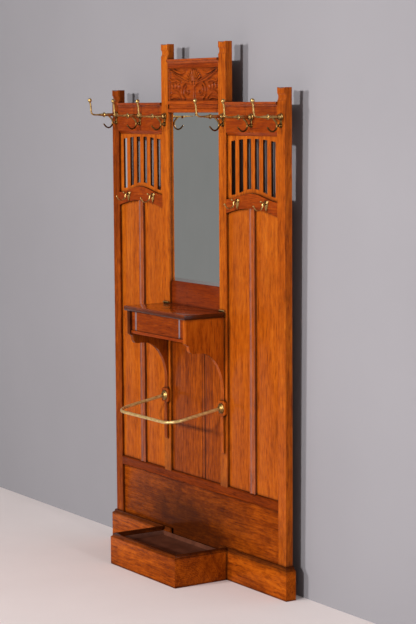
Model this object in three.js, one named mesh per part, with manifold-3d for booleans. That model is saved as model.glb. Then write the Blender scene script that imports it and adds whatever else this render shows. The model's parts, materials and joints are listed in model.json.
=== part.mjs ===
// A hall tree: a tall oak frame with coat hooks, a bevelled mirror, a glove box with a
// hinged lid, a brass umbrella rail and a drip tray in the plinth.
// Millimetres. +X is to the right seen from the front, -Y is the front, +Z is up.
// While it is built, the front faces of the posts lie in y = 0 and the floor is z = 0.
import * as THREE from 'three';
import { mergeVertices } from 'three/addons/utils/BufferGeometryUtils.js';
import Module from 'manifold-3d';

const wasm = await Module();
wasm.setup();

// ---- Driving dimensions -------------------------------------------------------------

const GAP = 0.3;                  // play between pieces that are cut to fit each other

// posts
const POST_WIDTH = 50;
const POST_DEPTH = 32;
const OUTER_POST_TOP = 1920;
const INNER_POST_TOP = 2100;
const OUTER_FACE = 630;           // outer face of an outer post, from the middle
const INNER_FACE = 235;           // outer face of an inner post, from the middle
const POST_COVE = { below: 36, radius: 22, depth: 5 };

// rails and panels
const RAIL_BACK = 24;             // rails run from y = 0 to here
const PANEL_FRONT = 9.5;          // panels lie this far behind the post faces
const PANEL_BACK = 18.5;
const TENON = { length: 20, front: 13, back: 21, shoulder: 7 };

// heights of the horizontal members
const DADO_RAIL = { bottom: 329, top: 369, chamfer: 5 };
const ARCHED_RAIL = { bottom: 1440, bottomRise: 25, top: 1495, topRise: 27 };
const HOOK_RAIL = { bottom: 1739, top: 1850, chamferHeight: 13, chamferDepth: 9 };
const SIDE_CAP = { cove: 7, top: 1867, nosing: 8 };
const SHELF_TOP = 1056;
const MIRROR = { bottom: 1150, top: 1827, front: 13, thickness: 4 };
const MIRROR_BOTTOM_RAIL = { front: 9, chamfer: 4 };
const CARVED_PANEL = { bottom: 1873, top: 2003, front: 3, back: 20 };
const CREST_RAIL_TOP = 2020;
const CREST_CAP = { cove: 10, top: 2038, nosing: 8 };

// slots of the lattice panels
const SLOT = { count: 6, width: 27, pitch: 53.5, top: 1728, topDrop: 12, bottom: 1511, bottomRise: 29 };

// fluted uprights between the side panels
const MULLION_WIDTH = 36;
const FLUTE = { width: 22, depth: 4.5 };

// glove box under the shelf
const LID = { halfWidth: 228, front: -190, back: -4.2, thickness: 20, edge: 5 };
const BRACKET = { inner: 200, outer: 220, front: -180, boxBottom: 942 };
const BRACKET_ARC = { depth: 112, height: 162, bottom: 740, flat: 902 };
const BOSS = { bottom: 648, top: 708, depth: 12, halfWidth: 24, chamfer: 7 };
const TAIL = { bottom: 498, depth: 9 };
const BOX = { front: -170, back: -154, bottom: 945, floor: 957, lip: 4, fluteAt: 164, fluteWidth: 18 };
const HINGE = {
  middle: 207, width: 38, axisY: -3.7, axisZ: 1060, knuckle: 3.4, pin: 1.5, leaf: 1.8, bottom: 1038,
  rebate: 1,                      // depth of the recess in the lid under the knuckles
};

// umbrella rail
const RAIL_TUBE_RADIUS = 6.25;
const RAIL = { height: 677, reach: 226, drop: 40, bend: 62 };
const FLANGE = { radius: 20, depth: 13, face: 8.5 };

// plinth and drip tray
const MOULDED_EDGE = { bottom: 113, top: 127, step: 2, setBack: 7 };
const PLINTH = { front: -13, side: 650, returnThickness: 20 };
const TRAY = { halfWidth: 247, front: -254, board: 18, floorBottom: 80, floorTop: 92 };
const DRIP_PAN = { top: 111, sheet: 1.5, play: 1.5 };

// hooks
const COAT_HOOK_HEIGHT = 1812;
const SMALL_HOOK_HEIGHT = 1483;
const SMALL_HOOK_SPREAD = 97;     // from the middle of the bay

// ---- Derived places -----------------------------------------------------------------

const OUTER_INNER_FACE = OUTER_FACE - POST_WIDTH;
const INNER_INNER_FACE = INNER_FACE - POST_WIDTH;
const BAY_MIDDLE = (INNER_FACE + OUTER_INNER_FACE) / 2;
const BAY_HALF = (OUTER_INNER_FACE - INNER_FACE) / 2;
const OUTER_POST_MIDDLE = OUTER_FACE - POST_WIDTH / 2;
const INNER_POST_MIDDLE = INNER_FACE - POST_WIDTH / 2;
const SHELF_BOTTOM = SHELF_TOP - LID.thickness;

// ---- Finishes -----------------------------------------------------------------------

const FINISH = {
  post: { color: 0xc06a24, roughness: 0.35, metalness: 0 },
  rail: { color: 0xa8480f, roughness: 0.32, metalness: 0 },
  panel: { color: 0xb9601d, roughness: 0.35, metalness: 0 },
  plinth: { color: 0x9c4a14, roughness: 0.35, metalness: 0 },
  pine: { color: 0xb08a5a, roughness: 0.8, metalness: 0 },
  brass: { color: 0xb58a45, roughness: 0.3, metalness: 1 },
  mirror: { color: 0xd8dcdc, roughness: 0.02, metalness: 1 },
  enamel: { color: 0x4a2216, roughness: 0.4, metalness: 0 },
};

const hallTree = new THREE.Group();

function piece(name, geometry, finish) {
  const mesh = new THREE.Mesh(geometry, new THREE.MeshStandardMaterial(FINISH[finish]));
  mesh.name = name;
  hallTree.add(mesh);
  return mesh;
}

// ---- Shape helpers ------------------------------------------------------------------

// a box between low and high values on each axis
function slab([x0, x1], [y0, y1], [z0, z1]) {
  const box = new THREE.BoxGeometry(x1 - x0, y1 - y0, z1 - z0);
  return box.translate((x0 + x1) / 2, (y0 + y1) / 2, (z0 + z1) / 2);
}

function outline(points) {
  return new THREE.Shape(points.map(([a, b]) => new THREE.Vector2(a, b)));
}

const X = new THREE.Vector3(1, 0, 0);
const Y = new THREE.Vector3(0, 1, 0);
const Z = new THREE.Vector3(0, 0, 1);

// a shape drawn in (y, z), extruded from x0 to x1
function alongX(shape, x0, x1) {
  const body = new THREE.ExtrudeGeometry(shape, { depth: x1 - x0, bevelEnabled: false });
  return body.applyMatrix4(new THREE.Matrix4().makeBasis(Y, Z, X)).translate(x0, 0, 0);
}

// a shape drawn in (x, z), extruded from y0 to y1
function alongY(shape, y0, y1) {
  const body = new THREE.ExtrudeGeometry(shape, { depth: y1 - y0, bevelEnabled: false });
  const turn = new THREE.Matrix4().makeBasis(X, Z, Y.clone().negate());
  return body.applyMatrix4(turn).translate(0, y1, 0);
}

// a shape drawn in (x, y), extruded from z0 to z1
function alongZ(shape, z0, z1) {
  const body = new THREE.ExtrudeGeometry(shape, { depth: z1 - z0, bevelEnabled: false });
  return body.translate(0, 0, z0);
}

// points of an elliptical arc, angles in degrees
function arc(centreA, centreB, radiusA, radiusB, from, to, steps) {
  const points = [];
  for (let i = 0; i <= steps; i += 1) {
    const angle = THREE.MathUtils.degToRad(from + ((to - from) * i) / steps);
    points.push([centreA + radiusA * Math.cos(angle), centreB + radiusB * Math.sin(angle)]);
  }
  return points;
}

// a round bar of constant radius along a curve
function bar(curve, radius, steps, sides) {
  const section = outline(arc(0, 0, radius, radius, 0, 360 - 360 / sides, sides - 1));
  return new THREE.ExtrudeGeometry(section, { steps, extrudePath: curve, bevelEnabled: false });
}

// a turned shape whose profile is [radius, distance in front of y = 0]
function turned(profile, sides) {
  const points = profile.map(([radius, along]) => new THREE.Vector2(radius, along));
  return new THREE.LatheGeometry(points, sides).rotateX(Math.PI);
}

function ball(radius, y, z) {
  return new THREE.SphereGeometry(radius, 8, 6).rotateX(Math.PI / 2).translate(0, y, z);
}

// ---- Joining and cutting ------------------------------------------------------------

function toSolid(geometry) {
  const bare = geometry.clone();
  bare.deleteAttribute('normal');
  bare.deleteAttribute('uv');
  const welded = mergeVertices(bare, 1e-4);
  return new wasm.Manifold(new wasm.Mesh({
    numProp: 3,
    vertProperties: Float32Array.from(welded.attributes.position.array),
    triVerts: Uint32Array.from(welded.index.array),
  }));
}

function toGeometry(solid) {
  const mesh = solid.getMesh();
  const geometry = new THREE.BufferGeometry();
  geometry.setAttribute('position', new THREE.BufferAttribute(mesh.vertProperties, 3));
  geometry.setIndex(new THREE.BufferAttribute(mesh.triVerts, 1));
  return geometry;
}

function join(first, ...others) {
  const solid = others.reduce((sum, other) => sum.add(toSolid(other)), toSolid(first));
  return toGeometry(solid);
}

function cut(first, ...tools) {
  const solid = tools.reduce((rest, tool) => rest.subtract(toSolid(tool)), toSolid(first));
  return toGeometry(solid);
}

// ---- Mortise and tenon joints -------------------------------------------------------

// the two tenons of a rail between x0 and x1, grown by play for the mortises
function tenons(x0, x1, z0, z1, play = 0) {
  const { length, front, back, shoulder } = TENON;
  const y = [front - play, back + play];
  const z = [z0 + shoulder - play, z1 - shoulder + play];
  const depth = length + 3 * play;
  const root = 2;
  return [
    slab([x0 - depth, x0 + root], y, z),
    slab([x1 - root, x1 + depth], y, z),
  ];
}

// ranges of the left and right bay, and of the middle bay
const BAYS = {
  left: [-OUTER_INNER_FACE, -INNER_FACE],
  right: [INNER_FACE, OUTER_INNER_FACE],
};
const MIDDLE = [-INNER_INNER_FACE, INNER_INNER_FACE];

const SIDE_RAIL_HEIGHTS = [
  [ARCHED_RAIL.bottom, ARCHED_RAIL.top],
  [HOOK_RAIL.bottom, HOOK_RAIL.top],
];
const MIDDLE_RAIL_HEIGHTS = [
  [SHELF_TOP, MIRROR.bottom],
  [MIRROR.top, CARVED_PANEL.bottom],
];

function mortises() {
  const tools = [];
  for (const bay of Object.values(BAYS)) {
    for (const height of SIDE_RAIL_HEIGHTS) {
      tools.push(...tenons(...bay, ...height, GAP));
    }
  }
  for (const height of MIDDLE_RAIL_HEIGHTS) {
    tools.push(...tenons(...MIDDLE, ...height, GAP));
  }
  tools.push(...tenons(-OUTER_INNER_FACE, OUTER_INNER_FACE, DADO_RAIL.bottom, DADO_RAIL.top, GAP));
  return tools;
}

// ---- Posts --------------------------------------------------------------------------

// a cylinder that hollows the front face of a post across its width, just below its top
function topCove(middle, top) {
  const { below, radius, depth } = POST_COVE;
  const across = new THREE.CylinderGeometry(radius, radius, 2 * POST_WIDTH, 32).rotateZ(Math.PI / 2);
  return across.translate(middle, depth - radius, top - below);
}

// the tongue under an inner post that stands in the dado rail
function footTenon(middle, play) {
  const half = POST_WIDTH / 2 - TENON.shoulder + play;
  const y = [TENON.front - play, TENON.back + play];
  return slab([middle - half, middle + half], y, [DADO_RAIL.top - 16 - 2 * play, DADO_RAIL.top + 2]);
}

function outerPost(side, middle) {
  const x = [middle - POST_WIDTH / 2, middle + POST_WIDTH / 2];
  const blank = slab(x, [0, POST_DEPTH], [0, OUTER_POST_TOP]);
  piece(`post_outer_${side}`, cut(blank, topCove(middle, OUTER_POST_TOP), ...mortises()), 'post');
}

// an inner post stands on the dado rail, its toe scribed over the rail's chamfer
function innerPost(side, middle) {
  const { top, chamfer } = DADO_RAIL;
  const section = outline([
    [0, top - chamfer + GAP], [chamfer - GAP, top], [POST_DEPTH, top],
    [POST_DEPTH, INNER_POST_TOP], [0, INNER_POST_TOP],
  ]);
  const blank = alongX(section, middle - POST_WIDTH / 2, middle + POST_WIDTH / 2);
  const footed = join(blank, footTenon(middle, 0));
  piece(`post_inner_${side}`, cut(footed, topCove(middle, INNER_POST_TOP), ...mortises()), 'post');
}

for (const [side, sign] of [['left', -1], ['right', 1]]) {
  outerPost(side, sign * OUTER_POST_MIDDLE);
  innerPost(side, sign * INNER_POST_MIDDLE);
}

// ---- Side bays ----------------------------------------------------------------------

// underside of the arched rail, a plain arc; dx is measured from the middle of the bay
function archUnderside(dx) {
  const { bottom, bottomRise } = ARCHED_RAIL;
  const radius = (BAY_HALF ** 2 + bottomRise ** 2) / (2 * bottomRise);
  return bottom + bottomRise - radius + Math.sqrt(radius ** 2 - dx ** 2);
}

// a bell curve from 1 in the middle of the bay to 0 at the posts
function bell(dx) {
  return (1 + Math.cos((Math.PI * dx) / BAY_HALF)) / 2;
}

function archTop(dx) {
  return ARCHED_RAIL.top + ARCHED_RAIL.topRise * bell(dx);
}

// points of a curve over the bay, from one dx to another, on a shared grid
function overBay(curve, from, to, lift = 0) {
  const steps = Math.max(1, Math.round((Math.abs(to - from) / BAY_HALF) * 8));
  const points = [];
  for (let i = 0; i <= steps; i += 1) {
    const dx = from + ((to - from) * i) / steps;
    points.push([dx, curve(dx) + lift]);
  }
  return points;
}

function cap(name, x0, x1, bottom, { cove, top, nosing }, back) {
  const section = outline([
    [back, bottom], [0, bottom],
    ...arc(-nosing, bottom, nosing, cove, 0, 90, 4).slice(1, -1),
    [-nosing, bottom + cove], [-nosing, top], [back, top],
  ]);
  piece(name, alongX(section, x0, x1), 'rail');
}

function hookRail(side, x0, x1) {
  const { bottom, top, chamferHeight, chamferDepth } = HOOK_RAIL;
  const section = outline([
    [0, top], [0, bottom + chamferHeight], [chamferDepth, bottom],
    [RAIL_BACK, bottom], [RAIL_BACK, top],
  ]);
  const body = alongX(section, x0, x1);
  piece(`hook_rail_${side}`, join(body, ...tenons(x0, x1, bottom, top)), 'rail');
}

function latticePanel(side, middle) {
  const half = BAY_HALF - GAP;
  const top = HOOK_RAIL.bottom;
  const panel = outline([...overBay(archTop, -half, half, GAP), [half, top], [-half, top]]);
  for (let i = 0; i < SLOT.count; i += 1) {
    const dx = (i - (SLOT.count - 1) / 2) * SLOT.pitch;
    const left = dx - SLOT.width / 2;
    const right = dx + SLOT.width / 2;
    const reach = (SLOT.count * SLOT.pitch) / 2;
    const slotTop = (at) => SLOT.top - SLOT.topDrop * (at / reach) ** 2;
    const slotBottom = (at) => SLOT.bottom + SLOT.bottomRise * bell(at);
    panel.holes.push(outline([
      [left, slotBottom(left)], [left, slotTop(left)],
      [right, slotTop(right)], [right, slotBottom(right)],
    ]));
  }
  piece(`lattice_panel_${side}`, alongY(panel, PANEL_FRONT, PANEL_BACK).translate(middle, 0, 0), 'panel');
}

function archedRail(side, x0, x1) {
  const section = outline([
    ...overBay(archUnderside, -BAY_HALF, BAY_HALF),
    ...overBay(archTop, BAY_HALF, -BAY_HALF),
  ]);
  const body = alongY(section, 0, RAIL_BACK).translate((x0 + x1) / 2, 0, 0);
  const ends = tenons(x0, x1, ARCHED_RAIL.bottom, ARCHED_RAIL.top);
  piece(`arched_rail_${side}`, join(body, ...ends), 'rail');
}

// one tall panel between a post and the mullion; dx0 and dx1 are from the bay's middle
function sidePanel(name, middle, dx0, dx1) {
  const base = DADO_RAIL.top;
  const panel = outline([
    [dx0, base], [dx1, base], ...overBay(archUnderside, dx1, dx0, -GAP),
  ]);
  piece(name, alongY(panel, PANEL_FRONT, PANEL_BACK).translate(middle, 0, 0), 'panel');
}

// a flute is a shallow hollow cut into a face at y = face, centred on x = at
function flute(at, face, { width, depth }) {
  return arc(at, face, width / 2, depth, 180, 0, 6);
}

function mullion(side, middle) {
  const half = MULLION_WIDTH / 2;
  const section = outline([
    [-half, RAIL_BACK], [-half, 0], ...flute(0, 0, FLUTE), [half, 0], [half, RAIL_BACK],
  ]);
  const top = archUnderside(half) - GAP;
  piece(`mullion_${side}`, alongZ(section, DADO_RAIL.top, top).translate(middle, 0, 0), 'post');
}

for (const [side, sign] of [['left', -1], ['right', 1]]) {
  const [x0, x1] = BAYS[side];
  const middle = sign * BAY_MIDDLE;
  const inner = MULLION_WIDTH / 2 + GAP;
  const outer = BAY_HALF - GAP;
  cap(`side_cap_${side}`, x0, x1, HOOK_RAIL.top, SIDE_CAP, RAIL_BACK + 4);
  hookRail(side, x0, x1);
  latticePanel(side, middle);
  archedRail(side, x0, x1);
  mullion(side, middle);
  sidePanel(`side_panel_${side}_a`, middle, -outer, -inner);
  sidePanel(`side_panel_${side}_b`, middle, inner, outer);
}

// ---- Crest and mirror ---------------------------------------------------------------

const [MIDDLE_LEFT, MIDDLE_RIGHT] = MIDDLE;
const BETWEEN_POSTS = [MIDDLE_LEFT + GAP, MIDDLE_RIGHT - GAP];

cap('crest_cap', ...MIDDLE, CREST_RAIL_TOP, CREST_CAP, RAIL_BACK + 4);
piece('crest_rail', slab(MIDDLE, [0, RAIL_BACK], [CARVED_PANEL.top, CREST_RAIL_TOP]), 'rail');

const carvedDepth = [CARVED_PANEL.front, CARVED_PANEL.back];
const carvedHeight = [CARVED_PANEL.bottom, CARVED_PANEL.top];
piece('carved_panel', slab(BETWEEN_POSTS, carvedDepth, carvedHeight), 'rail');

// a rail with a flat upper and lower edge and a hollow between them
function mirrorTopRail() {
  const { top: bottom } = MIRROR;
  const { bottom: top } = CARVED_PANEL;
  const hollowBottom = bottom + 14;
  const hollowTop = top - 14;
  const middle = (hollowBottom + hollowTop) / 2;
  const section = outline([
    [RAIL_BACK, bottom], [3, bottom], [0, bottom + 3],
    ...arc(0, middle, 6, (hollowTop - hollowBottom) / 2, -90, 90, 6),
    [-2, hollowTop], [-2, top - 3], [1, top], [RAIL_BACK, top],
  ]);
  const ends = tenons(...MIDDLE, bottom, top);
  piece('mirror_top_rail', join(alongX(section, ...MIDDLE), ...ends), 'rail');
}

// its lower lip closes the gap behind the lid of the glove box
function mirrorBottomRail() {
  const { front, chamfer } = MIRROR_BOTTOM_RAIL;
  const lip = LID.back + GAP;
  const section = outline([
    [RAIL_BACK, SHELF_BOTTOM], [lip, SHELF_BOTTOM], [lip, SHELF_TOP], [front, SHELF_TOP],
    [front, MIRROR.bottom - 2 * chamfer], [front + chamfer, MIRROR.bottom],
    [RAIL_BACK, MIRROR.bottom],
  ]);
  const ends = tenons(...MIDDLE, SHELF_TOP, MIRROR.bottom);
  piece('mirror_bottom_rail', join(alongX(section, ...MIDDLE), ...ends), 'rail');
}

mirrorTopRail();
mirrorBottomRail();

const glassBack = MIRROR.front + MIRROR.thickness;
const mirrorHeight = [MIRROR.bottom, MIRROR.top];
piece('mirror_glass', slab(BETWEEN_POSTS, [MIRROR.front, glassBack], mirrorHeight), 'mirror');
piece('mirror_backboard', slab(BETWEEN_POSTS, [glassBack, glassBack + 8], mirrorHeight), 'pine');

// ---- Middle boards, dado and plinth -------------------------------------------------

// two boards meet at a joint to the right of the middle; a bead marks the joint
const BOARD_JOINT = 60;
const JOINT_GROOVE = 3;
const JOINT_BEAD = 18;

function middleBoards() {
  const heights = [DADO_RAIL.top, SHELF_BOTTOM];
  const [left, right] = BETWEEN_POSTS;
  const face = PANEL_FRONT;
  const beadStart = BOARD_JOINT - JOINT_BEAD;
  const beaded = outline([
    [left, PANEL_BACK], [left, face],
    [beadStart - JOINT_GROOVE, face], [beadStart - JOINT_GROOVE / 2, face + JOINT_GROOVE],
    [beadStart, face + 1], ...arc(beadStart + JOINT_BEAD / 2, face + 1, JOINT_BEAD / 2, 1, 180, 360, 4),
    [BOARD_JOINT, PANEL_BACK],
  ]);
  const plain = outline([
    [BOARD_JOINT + GAP, PANEL_BACK], [BOARD_JOINT + GAP, face + JOINT_GROOVE],
    [BOARD_JOINT + JOINT_GROOVE, face], [right, face], [right, PANEL_BACK],
  ]);
  piece('middle_board_left', alongZ(beaded, ...heights), 'panel');
  piece('middle_board_right', alongZ(plain, ...heights), 'panel');
}

function dadoRail() {
  const { bottom, top, chamfer } = DADO_RAIL;
  const section = outline([
    [RAIL_BACK, bottom], [chamfer, bottom], [0, bottom + chamfer],
    [0, top - chamfer], [chamfer, top], [RAIL_BACK, top],
  ]);
  const ends = [-OUTER_INNER_FACE, OUTER_INNER_FACE];
  const body = join(alongX(section, ...ends), ...tenons(...ends, bottom, top));
  const sockets = [-INNER_POST_MIDDLE, INNER_POST_MIDDLE].map((x) => footTenon(x, GAP));
  piece('dado_rail', cut(body, ...sockets), 'rail');
}

middleBoards();
dadoRail();
const dadoWidth = [-OUTER_INNER_FACE + GAP, OUTER_INNER_FACE - GAP];
piece('dado_panel', slab(dadoWidth, [PANEL_FRONT, PANEL_BACK], [10, DADO_RAIL.bottom]), 'plinth');

// outline of a board with a moulded top edge: out is the distance behind its outer face,
// which lies at a = face; inward is +1 or -1; stretch widens the moulding
function mouldedBoard(face, inward, thickness, stretch = 1, play = 0) {
  const { bottom, top, step, setBack } = MOULDED_EDGE;
  const at = (out) => face + inward * (out - play);
  const rise = top - bottom - 5;
  const cove = arc(step * stretch, top - 3, (setBack - step) * stretch, rise, -90, 0, 4);
  return outline([
    [at(thickness + 2 * play), 0], [at(0), 0], [at(0), bottom + play], [at(step * stretch), bottom + play],
    ...cove.map(([out, z]) => [at(out), z + play]),
    [at(setBack * stretch), top + play], [at(thickness + 2 * play), top + play],
  ]);
}

// slides the vertices of one end of an extrusion so that the end follows a slope
function mitre(geometry, isEnd, move) {
  const place = geometry.attributes.position;
  const point = new THREE.Vector3();
  for (let i = 0; i < place.count; i += 1) {
    point.fromBufferAttribute(place, i);
    if (isEnd(point)) {
      move(point);
      place.setXYZ(i, point.x, point.y, point.z);
    }
  }
  return geometry;
}

function plinth(side, sign) {
  const depth = -PLINTH.front;
  const thick = PLINTH.returnThickness;
  const ends = [INNER_INNER_FACE, PLINTH.side].map((x) => sign * x).sort((a, b) => a - b);
  const front = alongX(mouldedBoard(PLINTH.front, 1, depth), ...ends);
  mitre(front, (p) => Math.abs(p.x) > OUTER_FACE, (p) => {
    p.x = sign * (PLINTH.side - ((p.y - PLINTH.front) * thick) / depth);
  });
  piece(`plinth_board_${side}`, front, 'plinth');

  const section = mouldedBoard(sign * PLINTH.side, -sign, thick, thick / depth);
  const back = alongY(section, PLINTH.front, POST_DEPTH);
  mitre(back, (p) => p.y < 0, (p) => {
    p.y = PLINTH.front + GAP + ((PLINTH.side - Math.abs(p.x)) * depth) / thick;
  });
  piece(`plinth_return_${side}`, back, 'plinth');
}

plinth('left', -1);
plinth('right', 1);

// ---- Drip tray ----------------------------------------------------------------------

// the tray's side boards are scribed to the moulded face of the plinth
const plinthShadow = alongX(
  mouldedBoard(PLINTH.front, 1, -PLINTH.front, 1, GAP), -PLINTH.side, PLINTH.side,
);

function trayFront() {
  const { halfWidth, front, board } = TRAY;
  const body = alongX(mouldedBoard(front, 1, board), -halfWidth, halfWidth);
  mitre(body, () => true, (p) => {
    p.x = Math.sign(p.x) * (halfWidth - (p.y - front));
  });
  piece('tray_front', body, 'plinth');
}

function traySide(side, sign) {
  const { halfWidth, front, board } = TRAY;
  const body = alongY(mouldedBoard(sign * halfWidth, -sign, board), front, 0);
  mitre(body, (p) => p.y < front / 2, (p) => {
    p.y = front + GAP + halfWidth - Math.abs(p.x);
  });
  piece(`tray_side_${side}`, cut(body, plinthShadow), 'plinth');
}

// the floor board reaches back between the plinth boards to the dado panel
function trayFloor() {
  const wide = TRAY.halfWidth - TRAY.board - GAP;
  const narrow = INNER_INNER_FACE - GAP;
  const front = TRAY.front + TRAY.board + GAP;
  const shoulder = PLINTH.front - GAP;
  const board = outline([
    [-wide, front], [wide, front], [wide, shoulder], [narrow, shoulder],
    [narrow, PANEL_FRONT - GAP], [-narrow, PANEL_FRONT - GAP], [-narrow, shoulder], [-wide, shoulder],
  ]);
  piece('tray_floor', alongZ(board, TRAY.floorBottom, TRAY.floorTop), 'plinth');
}

// a loose sheet-metal pan that lifts out of the tray
function dripPan() {
  const { top, sheet, play } = DRIP_PAN;
  const half = TRAY.halfWidth - TRAY.board - play;
  const front = TRAY.front + TRAY.board + play;
  const back = PLINTH.front - play;
  const bottom = TRAY.floorTop;
  const outside = slab([-half, half], [front, back], [bottom, top]);
  const inside = slab(
    [-half + sheet, half - sheet], [front + sheet, back - sheet], [bottom + sheet, top + sheet],
  );
  piece('drip_pan', cut(outside, inside), 'enamel');
}

trayFront();
traySide('left', -1);
traySide('right', 1);
trayFloor();
dripPan();

// ---- Glove box ----------------------------------------------------------------------

// the bracket's side view, drawn in (y, z): box side, scroll, arch and tail in one board
function bracketOutline() {
  const { front, boxBottom } = BRACKET;
  const { depth, height, bottom, flat } = BRACKET_ARC;
  const scrollTop = boxBottom - 4;
  const scroll = [
    [front, boxBottom], [front + 5, boxBottom - 2], [front + 5, scrollTop],
    ...arc(front + 5, scrollTop - 14, 12, 14, 90, 0, 4).slice(1),
    ...arc(front + 35, flat + 20, 18, 20, 180, 270, 4).slice(1),
  ];
  const arch = arc(-depth, bottom, depth - 5, height, 90, 0, 12);
  return outline([
    [0, SHELF_BOTTOM], [front, SHELF_BOTTOM], ...scroll, ...arch,
    [-5, BOSS.top], [-TAIL.depth, BOSS.top - 4], [-TAIL.depth, TAIL.bottom + 10],
    [-TAIL.depth + 4, TAIL.bottom], [0, TAIL.bottom],
  ]);
}

// the block on the post that carries the umbrella rail's flange
function boss(middle) {
  const { bottom, top, depth, halfWidth, chamfer } = BOSS;
  const block = alongY(outline([
    [-halfWidth + chamfer, bottom], [halfWidth - chamfer, bottom], [halfWidth, bottom + chamfer],
    [halfWidth, top - chamfer], [halfWidth - chamfer, top], [-halfWidth + chamfer, top],
    [-halfWidth, top - chamfer], [-halfWidth, bottom + chamfer],
  ]), -depth, 0);
  return block.translate(middle, 0, 0);
}

function bracket(side, sign) {
  const ends = [BRACKET.inner, BRACKET.outer].map((x) => sign * x).sort((a, b) => a - b);
  const board = alongX(bracketOutline(), ...ends);
  piece(`bracket_${side}`, join(board, boss(sign * INNER_POST_MIDDLE)), 'rail');
}

function boxFront() {
  const { front, back, fluteAt, fluteWidth } = BOX;
  const half = BRACKET.inner;
  const groove = { width: fluteWidth, depth: 4 };
  const section = outline([
    [-half, back], [-half, front], ...flute(-fluteAt, front, groove),
    ...flute(fluteAt, front, groove), [half, front], [half, back],
  ]);
  piece('box_front', alongZ(section, BOX.floor, SHELF_BOTTOM), 'rail');
}

// the bottom board's front edge shows as a lip below the box front
function boxBottom() {
  const half = BRACKET.inner;
  const narrow = INNER_INNER_FACE - GAP;
  const lip = BOX.front - BOX.lip;
  const board = outline([
    [-half, lip], [half, lip], [half, 0], [narrow, 0], [narrow, PANEL_FRONT],
    [-narrow, PANEL_FRONT], [-narrow, 0], [-half, 0],
  ]);
  piece('box_bottom', alongZ(board, BOX.bottom, BOX.floor), 'rail');
}

// the shelf is the lid of the glove box: rounded at the front and sides, square behind,
// with a shallow recess under each hinge's knuckles
function lid() {
  const { halfWidth, front, back, thickness, edge } = LID;
  const inset = halfWidth - edge;
  const board = outline([
    [-inset, front + edge], [inset, front + edge], [inset, back + edge], [-inset, back + edge],
  ]);
  const rounded = new THREE.ExtrudeGeometry(board, {
    depth: thickness - 2 * edge, bevelThickness: edge, bevelSize: edge, bevelSegments: 3,
  }).translate(0, 0, SHELF_BOTTOM + edge);
  const behind = slab([-halfWidth - 1, halfWidth + 1], [back, 30], [SHELF_BOTTOM - 1, SHELF_TOP + 1]);
  const recessFront = HINGE.axisY - HINGE.knuckle - GAP;
  const recesses = [-HINGE.middle, HINGE.middle].map((middle) => slab(
    [middle - HINGE.width / 2 - GAP, middle + HINGE.width / 2 + GAP],
    [recessFront, 30],
    [SHELF_TOP - HINGE.rebate, SHELF_TOP + 1],
  ));
  piece('lid', cut(rounded, behind, ...recesses), 'rail');
}

function knuckle(x0, x1, radius) {
  const rod = new THREE.CylinderGeometry(radius, radius, x1 - x0, 12).rotateZ(Math.PI / 2);
  return rod.translate((x0 + x1) / 2, HINGE.axisY, HINGE.axisZ);
}

// a butt hinge: the fixed leaf is screwed to the post and carries the pin and the outer
// knuckles; the moving leaf is screwed to the lid's back edge and carries the middle one
function hinge(side, middle) {
  const { width, axisZ, knuckle: radius, pin, leaf, bottom } = HINGE;
  const x0 = middle - width / 2;
  const x1 = middle + width / 2;
  const third = width / 3;
  const leafTop = axisZ - radius - 0.5;
  const tabTop = axisZ - pin;
  const fixedY = [-leaf, 0];
  const movingY = [LID.back, LID.back + leaf];
  const inner = [x0 + third + 0.25, x1 - third - 0.25];

  const fixed = join(
    slab([x0, x1], fixedY, [bottom, leafTop]),
    slab([x0, x0 + third], fixedY, [leafTop - 1, tabTop]),
    slab([x1 - third, x1], fixedY, [leafTop - 1, tabTop]),
    knuckle(x0, x0 + third, radius),
    knuckle(x1 - third, x1, radius),
    knuckle(x0 + 1, x1 - 1, pin),
  );
  piece(`hinge_leaf_fixed_${side}`, fixed, 'brass');

  const plates = join(
    slab([x0, x1], movingY, [bottom, leafTop]),
    slab(inner, movingY, [leafTop - 1, tabTop]),
    knuckle(...inner, radius),
  );
  piece(`hinge_leaf_moving_${side}`, cut(plates, knuckle(x0, x1, pin + GAP)), 'brass');
}

bracket('left', -1);
bracket('right', 1);
boxFront();
boxBottom();
lid();
hinge('left', -HINGE.middle);
hinge('right', HINGE.middle);

// ---- Umbrella rail ------------------------------------------------------------------

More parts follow.
